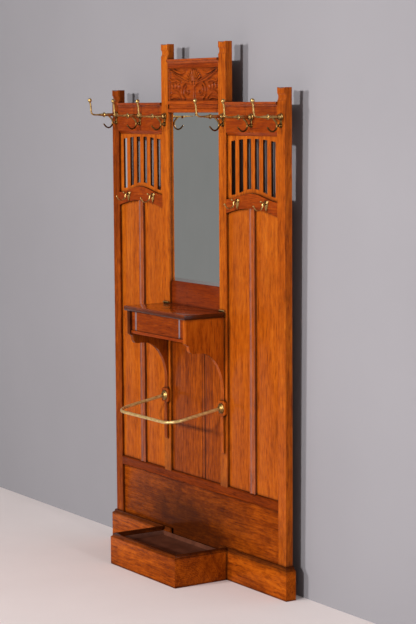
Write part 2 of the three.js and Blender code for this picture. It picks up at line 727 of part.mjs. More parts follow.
// the rail is a flat U that hangs forward from its flanges and slopes down a little
function umbrellaRail() {
  const half = INNER_POST_MIDDLE;
  const start = -BOSS.depth - 4;
  const slope = Math.atan2(RAIL.drop, RAIL.reach);
  const reach = Math.hypot(RAIL.drop, RAIL.reach);
  const { bend } = RAIL;
  const handle = bend * 0.5523;
  const point = (x, along) => new THREE.Vector3(
    x, start - along * Math.cos(slope), RAIL.height - along * Math.sin(slope),
  );
  const path = new THREE.CurvePath();
  path.add(new THREE.LineCurve3(point(-half, 0), point(-half, reach - bend)));
  path.add(new THREE.CubicBezierCurve3(
    point(-half, reach - bend), point(-half, reach - bend + handle),
    point(-half + bend - handle, reach), point(-half + bend, reach),
  ));
  path.add(new THREE.LineCurve3(point(-half + bend, reach), point(half - bend, reach)));
  path.add(new THREE.CubicBezierCurve3(
    point(half - bend, reach), point(half - bend + handle, reach),
    point(half, reach - bend + handle), point(half, reach - bend),
  ));
  path.add(new THREE.LineCurve3(point(half, reach - bend), point(half, 0)));
  piece('umbrella_rail', bar(path, RAIL_TUBE_RADIUS, 54, 8), 'brass');

  const socket = new THREE.CylinderGeometry(1, 1, 60, 16);
  const wide = RAIL_TUBE_RADIUS + GAP;
  socket.scale(wide, 1, wide).translate(0, -30, 0).rotateX(slope);
  for (const [side, sign] of [['left', -1], ['right', 1]]) {
    const dome = turned([
      [0, 0], [FLANGE.radius, 0], [FLANGE.radius, 2.5], [FLANGE.radius - 2, 4],
      [16, 7.5], [12, 10.5], [FLANGE.face, FLANGE.depth], [0, FLANGE.depth],
    ], 16);
    const place = [sign * half, -BOSS.depth, RAIL.height];
    const hole = socket.clone().translate(sign * half, start + GAP, RAIL.height);
    piece(`rail_flange_${side}`, cut(dome.translate(...place), hole), 'brass');
  }
}

umbrellaRail();

// ---- Hooks --------------------------------------------------------------------------

function bent(points, radius, steps) {
  const curve = new THREE.CatmullRomCurve3(points.map(([y, z]) => new THREE.Vector3(0, y, z)));
  return bar(curve, radius, steps, 6);
}

// a plate with a round head and a smaller round foot, thickness in front of y = 0
function hookPlate(headRadius, footRadius, footDrop, thickness) {
  const neck = footRadius * 0.55;
  const plate = outline([
    ...arc(0, 0, headRadius, headRadius, -60, 240, 8),
    [-neck, -headRadius], [-neck, footRadius - footDrop],
    ...arc(0, -footDrop, footRadius, footRadius, 120, 420, 6),
    [neck, footRadius - footDrop], [neck, -headRadius],
  ]);
  return alongY(plate, -thickness, 0);
}

// trims whatever would stand behind the mounting face y = 0
function flatBacked(geometry) {
  return cut(geometry, slab([-40, 40], [0, 40], [-80, 80]));
}

// a cast double hook: a long turned arm that rises to a ball, and a curl below it
function coatHook() {
  return flatBacked(join(
    hookPlate(13, 8.5, 32, 3),
    ball(10.5, -7.5, 0),
    ball(7, -5.5, -32),
    turned([
      [0, 8], [5.5, 8], [6.6, 18], [6.6, 46], [10, 56.5], [10, 60.5], [7, 61], [4.7, 78], [3.4, 90],
      [3.4, 104], [0, 104],
    ], 8),
    bent([[-102, 0], [-109, 0.6], [-115, 3], [-120, 8], [-121.5, 24], [-124, 40], [-126, 58]], 3.2, 7),
    ball(8, -126.4, 60.3),
    bent([[-38, -3], [-26, -14], [-19.5, -28], [-20.5, -40], [-29, -50], [-40, -53.5], [-52, -48],
      [-62, -36.5]], 3.4, 10),
  ));
}

// a cast single hook on a lobed, pointed leaf plate, with a short upper prong
function smallHook() {
  const half = [[5, 15], [10, 17], [15, 12], [13, 4], [9, -2], [8, -9], [4, -18]];
  const leaf = alongY(outline([
    [0, 17], ...half, [0, -25], ...half.map(([x, z]) => [-x, z]).reverse(),
  ]), -3, 0);
  return flatBacked(join(
    leaf,
    ball(6.5, -5, 4),
    bent([[-5, 6], [-14, 8], [-17, -4], [-24, -15], [-37, -20.5], [-50, -14], [-58, -4]], 3, 8),
    bent([[-14, 8], [-19, 11], [-24, 13]], 2.4, 3),
    ball(4, -25, 13),
    ball(3.8, -58, -3),
  ));
}

// hand-set castings: each sits a little off the middle of its board
const COAT_HOOK_OFFSETS = [[8, 6], [4, 2], [0, 0], [8, 0], [4, -2], [0, -1]];
const SMALL_HOOK_OFFSET = 4;

const coatHookPlaces = [-OUTER_POST_MIDDLE, -BAY_MIDDLE, -INNER_POST_MIDDLE,
  INNER_POST_MIDDLE, BAY_MIDDLE, OUTER_POST_MIDDLE];
coatHookPlaces.forEach((x, index) => {
  const [right, up] = COAT_HOOK_OFFSETS[index];
  const hook = piece(`coat_hook_${index + 1}`, coatHook(), 'brass');
  hook.position.set(x + right, 0, COAT_HOOK_HEIGHT + up);
});

const smallHookPlaces = [-BAY_MIDDLE - SMALL_HOOK_SPREAD, -BAY_MIDDLE + SMALL_HOOK_SPREAD,
  BAY_MIDDLE - SMALL_HOOK_SPREAD, BAY_MIDDLE + SMALL_HOOK_SPREAD];
smallHookPlaces.forEach((x, index) => {
  const hook = piece(`small_hook_${index + 1}`, smallHook(), 'brass');
  hook.position.set(x + SMALL_HOOK_OFFSET, 0, SMALL_HOOK_HEIGHT);
});

// ---- Place the whole so that its footprint is centred on the origin -----------------

hallTree.position.y = -(TRAY.front + POST_DEPTH) / 2;

export default hallTree;
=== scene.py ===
"""Looks of an oak hall tree with brass hooks, a bevelled mirror, a glove box and an umbrella rail.

Metres, +Z up, the front faces -Y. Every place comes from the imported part's boxes.
"""
import json
import math
import random

import bmesh
import bpy
import numpy as np
from mathutils import Matrix, Vector


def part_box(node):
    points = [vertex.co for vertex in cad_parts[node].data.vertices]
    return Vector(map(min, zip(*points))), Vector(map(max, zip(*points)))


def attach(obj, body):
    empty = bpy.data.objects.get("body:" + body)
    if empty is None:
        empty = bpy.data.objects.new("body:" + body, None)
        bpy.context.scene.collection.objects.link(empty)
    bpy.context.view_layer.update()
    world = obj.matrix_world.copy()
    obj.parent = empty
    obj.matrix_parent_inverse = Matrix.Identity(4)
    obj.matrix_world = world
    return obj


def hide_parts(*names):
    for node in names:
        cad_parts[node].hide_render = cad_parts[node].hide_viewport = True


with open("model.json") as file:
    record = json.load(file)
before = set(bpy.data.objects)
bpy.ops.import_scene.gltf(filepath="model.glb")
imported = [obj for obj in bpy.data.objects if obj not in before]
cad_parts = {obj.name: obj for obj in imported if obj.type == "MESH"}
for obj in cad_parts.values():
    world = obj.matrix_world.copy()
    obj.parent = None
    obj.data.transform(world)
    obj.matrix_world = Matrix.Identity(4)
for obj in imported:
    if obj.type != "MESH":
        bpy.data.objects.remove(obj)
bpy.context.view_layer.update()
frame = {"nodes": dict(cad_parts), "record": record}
MM = 0.001
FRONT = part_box("post_outer_right")[0].y  # the plane of the posts' front faces

# ---- Materials ----------------------------------------------------------------------


class Nodes:
    """A material's node tree, written as short calls that return sockets."""

    def __init__(self, name):
        self.material = bpy.data.materials.new(name)
        self.material.use_nodes = True
        self.tree = self.material.node_tree
        self.tree.nodes.clear()
        self.shader = self.tree.nodes.new("ShaderNodeBsdfPrincipled")
        output = self.tree.nodes.new("ShaderNodeOutputMaterial")
        self.tree.links.new(self.shader.outputs[0], output.inputs[0])

    def put(self, socket, value):
        if isinstance(value, bpy.types.NodeSocket):
            self.tree.links.new(value, socket)
        else:
            socket.default_value = value

    def node(self, kind, inputs, **settings):
        made = self.tree.nodes.new(kind)
        for key, value in settings.items():
            setattr(made, key, value)
        for key, value in inputs.items():
            self.put(made.inputs[key], value)
        return made

    def place(self):
        return self.node("ShaderNodeTexCoord", {}).outputs["Object"]

    def math(self, operation, a, b=0.0, clamp=False):
        made = self.node("ShaderNodeMath", {0: a, 1: b}, operation=operation, use_clamp=clamp)
        return made.outputs[0]

    def split(self, vector):
        made = self.node("ShaderNodeSeparateXYZ", {0: vector})
        return made.outputs[0], made.outputs[1], made.outputs[2]

    def join(self, x, y, z):
        return self.node("ShaderNodeCombineXYZ", {0: x, 1: y, 2: z}).outputs[0]

    def mapped(self, vector, shift=(0, 0, 0), turn=(0, 0, 0), scale=(1, 1, 1)):
        made = self.node("ShaderNodeMapping", {"Vector": vector, "Location": shift,
                                               "Rotation": turn, "Scale": scale})
        return made.outputs[0]

    def noise(self, vector, scale, detail, rough):
        at = self.mapped(vector, scale=scale)
        made = self.node("ShaderNodeTexNoise", {"Vector": at, "Scale": 1.0, "Detail": detail,
                                                "Roughness": rough})
        return made.outputs["Fac"]

    def far(self, a, b):
        squares = [self.math("MULTIPLY", side, side) for side in (a, b)]
        return self.math("SQRT", self.math("ADD", *squares))

    def span(self, value, low, high, to_low=0.0, to_high=1.0):
        made = self.node("ShaderNodeMapRange", {"Value": value, "From Min": low, "From Max": high,
                                                "To Min": to_low, "To Max": to_high})
        return made.outputs[0]

    def ramp(self, value, stops):
        made = self.node("ShaderNodeValToRGB", {"Fac": value})
        points = made.color_ramp.elements
        while len(points) < len(stops):
            points.new(0.5)
        for point, (at, colour) in zip(points, stops):
            point.position = at
            point.color = (*colour, 1.0)
        return made.outputs["Color"]

    def mix(self, factor, a, b, blend="MIX"):
        made = self.node("ShaderNodeMix", {0: factor}, data_type="RGBA", blend_type=blend)
        self.put(made.inputs[6], a if isinstance(a, bpy.types.NodeSocket) else (*a, 1.0))
        self.put(made.inputs[7], b if isinstance(b, bpy.types.NodeSocket) else (*b, 1.0))
        return made.outputs[2]

    def bump(self, height, strength, distance):
        made = self.node("ShaderNodeBump", {"Height": height, "Strength": strength,
                                            "Distance": distance})
        return made.outputs[0]

    def finish(self, **inputs):
        for key, value in inputs.items():
            self.put(self.shader.inputs[key.replace("_", " ")], value)
        return self.material


def hollows(n, distance):
    """0 in a hollow or corner that is narrower than distance, 1 on an open face."""
    made = n.node("ShaderNodeAmbientOcclusion", {"Distance": distance}, samples=4,
                  only_local=False)
    return made.outputs["AO"]


RINGS_PER_METRE = 150.0


def oak(name, seed, grain="z", tone=0.0, red=0.0, figure=0.5, dark=0.0, gloss=0.16, shine=0.10,
        stain_and_shade=None, sawn_and_shaded=None, painted_sheen=0.0):
    """Oak under old shellac, cut from a log of its own: rings round a pith that runs with the
    grain, pores, ray flecks, patches where the polish has darkened, and in the corners dirt
    together with painted shade. The upright ellipse (x, z, half width, half height) is painted
    dark: a real stain on some boards, painted shade and shadow on others, and a plain darker
    band along some tops. For the faces along an axis, the amount given says how nearly black
    they are painted: painted shade on the sides and edges that the lamps hardly reach. The
    sheen amount paints the walls of the flutes that turn towards +X grey, as a painted
    reflection of the lamps."""
    n = Nodes(name)
    rand = random.Random(seed)
    upright = n.mapped(n.place(), turn={"z": (0, 0, 0), "x": (0, math.radians(90), 0)}[grain])
    along = n.mapped(upright, shift=(rand.uniform(-9, 9), rand.uniform(-9, 9), rand.uniform(-9, 9)))

    # the pith lies behind the board and leans a little, which draws the long arches
    sway = n.math("SUBTRACT", n.noise(along, (2.64, 2.64, 1.21), 2.0, 0.5), 0.5)
    x, y, z = n.split(upright)
    pith = (rand.uniform(-0.12, 0.12), rand.uniform(0.05, 0.16))
    lean = (rand.uniform(-0.02, 0.02), rand.uniform(-0.05, 0.05))
    px = n.math("ADD", n.math("ADD", x, pith[0]), n.math("MULTIPLY", z, lean[0]))
    py = n.math("ADD", n.math("ADD", y, pith[1]), n.math("MULTIPLY", z, lean[1]))
    px = n.math("ADD", px, n.math("MULTIPLY", sway, 0.10))
    uneven = n.noise(along, (14, 14, 3.5), 4.0, 0.65)
    rings = n.math("ADD", n.math("MULTIPLY", n.far(px, py), RINGS_PER_METRE),
                   n.math("MULTIPLY", uneven, 3.0))
    rings = n.math("FRACT", rings)
    early = n.ramp(rings, [(0.0, (0.8, 0.8, 0.8)), (0.10, (1, 1, 1)), (0.38, (0.12, 0.12, 0.12)),
                           (0.7, (0, 0, 0)), (1.0, (0.7, 0.7, 0.7))])

    streaks = n.noise(along, (30, 30, 1.6), 5.0, 0.66)
    fibres = n.noise(along, (210, 210, 9), 3.0, 0.7)
    pores = n.noise(along, (640, 640, 34), 2.0, 0.6)
    pores = n.span(pores, 0.55, 0.63)
    pores = n.math("MULTIPLY", pores, n.math("ADD", n.math("MULTIPLY", early, 0.7), 0.3))
    ticks = n.noise(along, (170, 170, 15), 3.0, 0.6)
    ticks = n.math("MULTIPLY", n.span(ticks, 0.54, 0.70),
                   n.math("ADD", n.math("MULTIPLY", early, 0.75), 0.25))
    rays = n.noise(along, (75, 75, 24), 3.0, 0.6)
    patches = n.noise(along, (3.4, 3.4, 1.7), 4.0, 0.6)
    cloud = n.noise(along, (13, 13, 7), 5.0, 0.75)
    stain = n.noise(along, (7, 7, 3.2), 5.0, 0.72)

    shade = n.math("ADD", n.span(streaks, 0.28, 0.72, -0.22, 0.22), tone)
    for layer in (n.math("MULTIPLY", early, -0.34 * figure),
                  n.span(fibres, 0.3, 0.7, -0.26, 0.26),
                  n.span(rays, 0.3, 0.7, -0.18, 0.18),
                  n.span(patches, 0.3, 0.7, -0.20, 0.20),
                  n.span(cloud, 0.3, 0.7, -0.4 * dark - 0.12, 0.12 + 0.1 * dark),
                  n.math("MULTIPLY", ticks, -0.75)):
        shade = n.math("ADD", shade, layer)
    colour = n.ramp(n.span(shade, -1.5, 1.3), [
        (0.0, (0.040, 0.0060, 0.0012)), (0.32, (0.165, 0.0265, 0.0020)),
        (0.54, (0.345, 0.0670, 0.0036)), (0.75, (0.490, 0.1180, 0.0066)),
        (1.0, (0.680, 0.2050, 0.0160))])
    if red:
        colour = n.mix(red, colour, (0.30, 0.032, 0.004))
    colour = n.mix(n.math("MULTIPLY", pores, 0.75), colour, (0.045, 0.0080, 0.0018))
    blots = n.span(stain, 0.55, 0.75, 0.0, 0.30 + 0.35 * dark)
    colour = n.mix(blots, colour, (0.060, 0.0090, 0.0015))
    # a dark ellipse: a real stain on some boards, painted shade and shadow on others
    if stain_and_shade:
        x, _, z = n.split(n.place())
        dx = n.math("DIVIDE", n.math("SUBTRACT", x, stain_and_shade[0]), stain_and_shade[2])
        dz = n.math("DIVIDE", n.math("SUBTRACT", z, stain_and_shade[1]), stain_and_shade[3])
        away = n.math("ADD", n.far(dx, dz), n.span(cloud, 0.3, 0.7, -0.22, 0.22))
        colour = n.mix(n.span(away, 0.25, 1.25, 0.82, 0.0), colour, (0.022, 0.0050, 0.0018))
    if sawn_and_shaded or painted_sheen:
        normal = n.node("ShaderNodeNewGeometry", {}).outputs["True Normal"]
        normal = n.node("ShaderNodeVectorTransform", {"Vector": normal}, vector_type="NORMAL",
                        convert_from="WORLD", convert_to="OBJECT").outputs[0]
        parts = dict(zip("xyz", n.split(normal)))
        # painted shade: the faces along the chosen axes go near black, as sides the lamps hardly
        # reach
        for axis, depth in (sawn_and_shaded or {}).items():
            facing = n.math("ABSOLUTE", parts[axis])
            colour = n.mix(n.span(facing, 0.55, 0.85, 0.0, depth), colour, (0.020, 0.0048, 0.0024))
        # painted reflection: the flute walls that turn towards +X go grey, as the lamps' glint on
        # them
        wall = n.math("MULTIPLY", n.span(parts["x"], 0.16, 0.36),
                      n.span(parts["x"], 0.86, 0.96, painted_sheen, 0.0))
        colour = n.mix(wall, colour, (0.235, 0.190, 0.200))
    # dirt and painted shade: darker in hollows, corners and along joints
    grime_and_shade = n.span(n.math("ADD", hollows(n, 0.011), n.span(cloud, 0.3, 0.7, -0.10, 0.10)),
                  0.40, 0.94, 1.0, 0.0)
    colour = n.mix(grime_and_shade, colour, (0.018, 0.0032, 0.0012))

    smear = n.noise(along, (5, 5, 3), 3.0, 0.6)
    rough = n.span(smear, 0.3, 0.75, gloss * 0.75, gloss * 1.7)
    rough = n.math("ADD", rough, n.math("MULTIPLY", pores, 0.12))
    rough = n.math("ADD", rough, n.math("MULTIPLY", grime_and_shade, 0.3))
    height = n.math("SUBTRACT", n.math("MULTIPLY", fibres, 0.25), n.math("MULTIPLY", pores, 0.6))
    height = n.math("ADD", height, n.math("MULTIPLY", streaks, 0.9))
    return n.finish(Base_Color=colour, Roughness=rough, IOR=1.45, Specular_IOR_Level=shine,
                    Normal=n.bump(height, 0.16, 0.0009))


def bare_pine(name):
    n = Nodes(name)
    along = n.place()
    streaks = n.noise(along, (46, 46, 1.6), 4.0, 0.6)
    fibres = n.noise(along, (400, 400, 10), 2.0, 0.7)
    stain = n.noise(along, (2.4, 2.4, 1.6), 4.0, 0.65)
    shade = n.math("ADD", n.span(streaks, 0.25, 0.75, 0, 0.7), n.span(stain, 0.3, 0.7, 0, 0.3))
    colour = n.ramp(shade, [(0.0, (0.16, 0.085, 0.035)), (0.5, (0.33, 0.19, 0.085)),
                            (1.0, (0.50, 0.32, 0.16))])
    return n.finish(Base_Color=colour, Roughness=n.span(fibres, 0.2, 0.8, 0.62, 0.8),
                    Normal=n.bump(fibres, 0.25, 0.0006))


def worn_brass(name, low=None, high=None, gloom=0.0, metal=1.0):
    """Cast or drawn brass that has been handled: bright on the crowns, brown in the hollows.
    Between the heights low and high it goes from tarnished to handled. A duller skin of
    oxide shows as a lower metal."""
    n = Nodes(name)
    at = n.place()
    edge = n.node("ShaderNodeNewGeometry", {}).outputs["Pointiness"]
    proud = n.span(edge, 0.47, 0.56)
    patina = n.noise(at, (70, 70, 70), 4.0, 0.65)
    cast = n.noise(at, (520, 520, 520), 2.0, 0.5)
    open_face = n.span(hollows(n, 0.012), 0.40, 0.95)
    bright = n.math("MULTIPLY", open_face, n.span(patina, 0.32, 0.66, 0.62, 1.0))
    bright = n.math("ADD", bright, n.math("MULTIPLY", proud, 0.22), clamp=True)
    if low is not None:
        _, _, z = n.split(at)
        bright = n.math("MULTIPLY", bright, n.span(z, low, high, 0.38, 1.0))
    bright = n.math("SUBTRACT", bright, gloom, clamp=True)
    colour = n.ramp(bright, [(0.0, (0.030, 0.0125, 0.0040)), (0.40, (0.190, 0.095, 0.0240)),
                             (0.75, (0.47, 0.295, 0.098)), (1.0, (0.74, 0.51, 0.215))])
    rough = n.span(patina, 0.3, 0.7, 0.27, 0.44)
    return n.finish(Base_Color=colour, Metallic=metal, Roughness=rough,
                    Normal=n.bump(n.math("ADD", patina, n.math("MULTIPLY", cast, 0.5)), 0.22, 0.0005))


def silvering(name):
    """Old plate glass: even silver with a faint bloom and a few dark specks near the edge."""
    n = Nodes(name)
    at = n.place()
    bloom = n.noise(at, (7, 7, 4), 4.0, 0.6)
    specks = n.span(n.noise(at, (160, 160, 160), 2.0, 0.5), 0.74, 0.80)
    low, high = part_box("mirror_glass")
    x, _, z = n.split(at)
    above = n.math("SUBTRACT", z, (high.z + low.z) / 2)
    to_side = n.math("SUBTRACT", (high.x - low.x) / 2, n.math("ABSOLUTE", x))
    to_end = n.math("SUBTRACT", (high.z - low.z) / 2, n.math("ABSOLUTE", above))
    near = n.span(n.math("MINIMUM", to_side, to_end), 0.004, 0.05, 1.0, 0.0)
    loss = n.math("MULTIPLY", specks, near)
    colour = n.ramp(n.span(bloom, 0.3, 0.7), [(0.0, (0.94, 0.955, 0.94)),
                                              (1.0, (0.985, 0.99, 0.98))])
    colour = n.mix(loss, colour, (0.10, 0.085, 0.07))
    return n.finish(Base_Color=colour, Metallic=1.0,
                    Roughness=n.math("ADD", n.span(bloom, 0.3, 0.7, 0.012, 0.03),
                                     n.math("MULTIPLY", loss, 0.4)))


def brown_enamel(name):
    n = Nodes(name)
    at = n.place()
    dust = n.noise(at, (14, 14, 14), 5.0, 0.65)
    peel = n.noise(at, (300, 300, 300), 2.0, 0.5)
    scuffs = n.span(n.noise(at, (60, 190, 60), 3.0, 0.7), 0.66, 0.76)
    colour = n.ramp(dust, [(0.25, (0.045, 0.012, 0.006)), (0.75, (0.120, 0.034, 0.014))])
    colour = n.mix(n.math("MULTIPLY", scuffs, 0.35), colour, (0.20, 0.10, 0.06))
    return n.finish(Base_Color=colour, Roughness=n.span(dust, 0.3, 0.7, 0.42, 0.60),
                    Specular_IOR_Level=0.25,
                    Normal=n.bump(peel, 0.10, 0.0004))


def painted_wall(name):
    """The wall shows from the front only, so that the back of the hall tree can be seen."""
    n = Nodes(name)
    at = n.place()
    cloud = n.noise(at, (0.8, 0.8, 0.8), 4.0, 0.55)
    skin = n.noise(at, (240, 240, 240), 2.0, 0.5)
    colour = n.ramp(cloud, [(0.3, (0.272, 0.258, 0.274)), (0.7, (0.298, 0.283, 0.300))])
    x, _, z = n.split(at)
    # painted shade: the wall is darker to the left and towards the floor, as the lamps fall off
    painted_falloff = n.math("MULTIPLY", n.span(x, -2.6, 1.0, 0.74, 1.0), n.span(z, 0.0, 0.9, 0.90, 1.0))
    colour = n.mix(1.0, colour, n.join(painted_falloff, painted_falloff, painted_falloff), "MULTIPLY")
    n.finish(Base_Color=colour, Roughness=0.85, Normal=n.bump(skin, 0.05, 0.001))
    clear = n.node("ShaderNodeBsdfTransparent", {})
    behind = n.node("ShaderNodeNewGeometry", {}).outputs["Backfacing"]
    both = n.node("ShaderNodeMixShader", {0: behind, 1: n.shader.outputs[0], 2: clear.outputs[0]})
    output = next(x for x in n.tree.nodes if x.type == "OUTPUT_MATERIAL")
    n.tree.links.new(both.outputs[0], output.inputs[0])
    return n.material


def pale_floor(name):
    n = Nodes(name)
    at = n.place()
    cloud = n.noise(at, (1.1, 1.1, 1.1), 5.0, 0.6)
    colour = n.ramp(cloud, [(0.3, (0.850, 0.755, 0.735)), (0.7, (0.900, 0.805, 0.785))])
    x, y, _ = n.split(at)
    # painted light: the floor is brightest round the object and darker further off, a painted pool of
    # lamp light
    fall = n.span(n.far(x, y), 2.3, 8.0, 1.0, 0.32)
    colour = n.mix(1.0, colour, n.join(fall, fall, fall), "MULTIPLY")
    return n.finish(Base_Color=colour, Roughness=n.span(cloud, 0.3, 0.7, 0.75, 0.9),
                    Specular_IOR_Level=0.0)


# ---- Mesh helpers -------------------------------------------------------------------


def new_piece(name, data, node, material):
    """A piece that stands for a CAD node, on the node's body and in its slot."""
    made = bpy.data.objects.new(name, data)
    bpy.context.scene.collection.objects.link(made)
    data.materials.append(material)
    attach(made, body_of(node))
    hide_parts(node)
    return made


def mesh_of(name, shape):
    """A mesh from a bmesh, which is freed."""
    data = bpy.data.meshes.new(name)
    shape.to_mesh(data)
    shape.free()
    data.shade_smooth()
    return data


def band(shape, low, high):
    """Faces between two closed rings of vertices."""
    count = len(low)
    for k in range(count):
        j = (k + 1) % count
        shape.faces.new((low[k], low[j], high[j], high[k]))


def solid_copy(node):
    """The CAD node's shape as clean polygons."""
    made = bmesh.new()
    made.from_mesh(frame["nodes"][node].data)
    bmesh.ops.remove_doubles(made, verts=made.verts, dist=2e-6)
    bmesh.ops.dissolve_limit(made, angle_limit=math.radians(0.4), verts=made.verts,
                             edges=made.edges)
    made.normal_update()
    return made


def worn_edges(obj, width, angle=28):
    """Eases the arrises, as years of handling do; the width is in millimetres."""
    bevel = obj.modifiers.new("eased", "BEVEL")
    bevel.width = width * MM
    bevel.segments = 2
    bevel.limit_method = "ANGLE"
    bevel.angle_limit = math.radians(angle)
    bevel.use_clamp_overlap = True
    bevel.harden_normals = True
    bevel.miter_outer = "MITER_ARC"


def body_of(node):
    return next(b for b, members in frame["record"]["behaviour"]["bodies"].items()
                if node in members)


def slot_of(node):
    return next(s["material_slot"] for s in frame["record"]["subparts"] if s["node"] == node)


def wooden(node, material, width=0.8, tongued=()):
    """Stands for a wooden CAD node: the same solid with eased edges, and thin tongues that
    close the joints at the tongued edges, low or high in X."""
    shape = solid_copy(node)
    for edge in tongued:
        add_tongue(shape, *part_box(node), edge)
    name = node + "_fine"
    worn_edges(new_piece(name, mesh_of(name, shape), node, material), width)


def add_tongue(shape, low, high, edge):
    depth = (low.y + high.y) / 2
    reach, half = 2.5 * MM, 1.0 * MM
    x = {"low": low.x, "high": high.x}[edge]
    section = [(x - reach, depth - half), (x + reach, depth - half),
               (x + reach, depth + half), (x - reach, depth + half)]
    data = mesh_of("tongue", prism(section, "z", low.z + reach, high.z - reach))
    shape.from_mesh(data)
    bpy.data.meshes.remove(data)


def frames_along(points):
    """Tangent and two normals at each point of a path, without twist."""
    tangents = []
    for i in range(len(points)):
        a, b = points[max(i - 1, 0)], points[min(i + 1, len(points) - 1)]
        tangents.append((b - a).normalized())
    side = tangents[0].orthogonal().normalized()
    if abs(tangents[0].x) < 0.5:
        side = (Vector((1, 0, 0)) - tangents[0] * tangents[0].x).normalized()
    out = []
    for t in tangents:
        side = (side - t * side.dot(t)).normalized()
        out.append((t, side, t.cross(side)))
    return out


def tube(shape, points, radii, sides=16):
    """Adds a closed tube along points to a bmesh; a radius is (across X, other) or one number."""
    rings = []
    for point, radius, (_, side, up) in zip(points, radii, frames_along(points)):
        ra, rb = radius if isinstance(radius, tuple) else (radius, radius)
        ring = []
        for k in range(sides):
            a = 2 * math.pi * k / sides
            ring.append(shape.verts.new(point + side * math.cos(a) * ra + up * math.sin(a) * rb))
        rings.append(ring)
    for low, high in zip(rings, rings[1:]):
        band(shape, low, high)
    shape.faces.new(tuple(reversed(rings[0])))
    shape.faces.new(tuple(rings[-1]))


def rounded(profile, steps=5):
    """A smooth curve through the points of a profile, as the chisel leaves it."""
    out = []
    count = len(profile)
    for i in range(count - 1):
        p0 = profile[max(i - 1, 0)]
        p1, p2 = profile[i], profile[i + 1]
        p3 = profile[min(i + 2, count - 1)]
        for k in range(steps):
            t = k / steps
            out.append(tuple(
                0.5 * (2 * b + (c - a) * t + (2 * a - 5 * b + 4 * c - d) * t * t
                       + (3 * b - a - 3 * c + d) * t ** 3)
                for a, b, c, d in zip(p0, p1, p2, p3)))
    out.append(tuple(profile[-1]))
    return out


# ---- Wood ---------------------------------------------------------------------------

SIDES = (("left", -1), ("right", 1))


def oak_for(node, number, **changes):
    """The oak of one board; level grain on rails, upright grain on posts and panels."""
    slot = slot_of(node)
    look = {
        "oak_post": dict(grain="z", tone=0.16, figure=0.5),
        "oak_rail": dict(grain="x", tone=-0.38, red=0.28, figure=0.4, dark=0.2),
        "oak_carving": dict(grain="x", tone=-0.18, red=0.28, figure=0.3),
        "oak_plinth": dict(grain="x", tone=-0.04, figure=0.6, dark=0.5, shine=0.03),
        "oak_panel": dict(grain="z", tone=0.20, figure=0.6),
    }[slot]
    look.update(changes)
    return oak(node + "_oak", 100 + number, **look)


# the shadowed joint between the two boards of the middle bay
BOARD_JOINT = (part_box("middle_board_left")[1].x, 0.6, 0.0045, 0.9)


def dark_top_band(node, depth):
    """A dark band along the top of a node."""
    return (0.0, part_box(node)[1].z, 5.0, depth)


def shaded_foot(below, height):
    """Painted shade: a tone that darkens gently towards the floor, where less light falls."""
    return (0.0, -below, 5.0, height)


CHANGES = {
    # the middle boards are toned darker partly as painted shade under the glove box, and painted
    # shadow darkens their joint
    "middle_board_left": dict(tone=-0.40, stain_and_shade=BOARD_JOINT),
    "middle_board_right": dict(tone=-0.36, stain_and_shade=BOARD_JOINT),
    "side_panel_right_a": dict(tone=0.10, figure=1.0),
    # painted shade: the sides of the slots go near black
    "lattice_panel_left": dict(tone=0.22, sawn_and_shaded={"x": 0.88}),
    "lattice_panel_right": dict(tone=0.22, sawn_and_shaded={"x": 0.98}),
    "dado_panel": dict(tone=-0.38, dark=0.1, figure=0.1, stain_and_shade=(-0.10, 0.17, 0.50, 0.18)),
    "dado_rail": dict(tone=-0.85, red=0.1, shine=0.03),
    # painted shade: the left bracket's edges, and its top under the glove box, are darker
    "bracket_left": dict(grain="z", tone=0.0, red=0.15, sawn_and_shaded={"y": 0.3, "z": 0.6},
                         stain_and_shade=(0.0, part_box("bracket_left")[1].z, 5.0, 0.16)),
    # painted shade: the right bracket's upward and downward faces are darker
    "bracket_right": dict(grain="z", tone=0.14, red=0.1, sawn_and_shaded={"z": 0.6}),
    "post_outer_left": dict(tone=-0.42, shine=0.05),
    # painted shade: the posts darken towards the floor
    "post_outer_right": dict(tone=0.10, dark=0.3, stain_and_shade=shaded_foot(0.42, 0.62)),
    "post_inner_left": dict(tone=0.30, stain_and_shade=shaded_foot(0.05, 0.62)),
    "post_inner_right": dict(stain_and_shade=shaded_foot(0.10, 0.62)),
    "mirror_bottom_rail": dict(tone=-1.1),
    "mirror_top_rail": dict(tone=-0.15, shine=0.12), "crest_rail": dict(tone=-0.74, dark=0.5),
    "hook_rail_left": dict(tone=-0.38, dark=0.5), "hook_rail_right": dict(tone=-0.34, dark=0.4),
    "arched_rail_left": dict(tone=-0.40), "arched_rail_right": dict(tone=-0.28),
    # painted reflection: the box front's flute walls go grey
    "box_front": dict(tone=-0.45, red=0.15, painted_sheen=0.85),
    # painted shade and shadow: the lid's edges go near black and its lower edge darker
    "lid": dict(tone=-0.32, shine=0.5, gloss=0.10, sawn_and_shaded={"x": 0.8, "y": 0.5},
                stain_and_shade=(0.0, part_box("lid")[0].z, 5.0, 0.014)),
    "tray_front": dict(tone=-0.20, stain_and_shade=dark_top_band("tray_front", 0.015)),
    "tray_side_left": dict(tone=-0.20, dark=0.8, stain_and_shade=dark_top_band("tray_side_left", 0.030)),
    "tray_side_right": dict(tone=-0.20, dark=0.8, stain_and_shade=dark_top_band("tray_side_right", 0.015)),
    "crest_cap": dict(tone=-0.1, shine=0.5),
}
for side, _ in SIDES:
    CHANGES[f"side_cap_{side}"] = CHANGES["crest_cap"]
    # painted reflection: the mullions' flute walls go grey
    CHANGES[f"mullion_{side}"] = dict(tone=-0.1, shine=0.5, gloss=0.2, painted_sheen=0.2)
    for node in (f"plinth_board_{side}", f"plinth_return_{side}"):
        CHANGES[node] = dict(stain_and_shade=dark_top_band(node, 0.024))
OAK = {}
for number, item in enumerate(frame["record"]["subparts"]):
    if item["material_slot"].startswith("oak"):
        OAK[item["node"]] = oak_for(item["node"], number, **CHANGES.get(item["node"], {}))


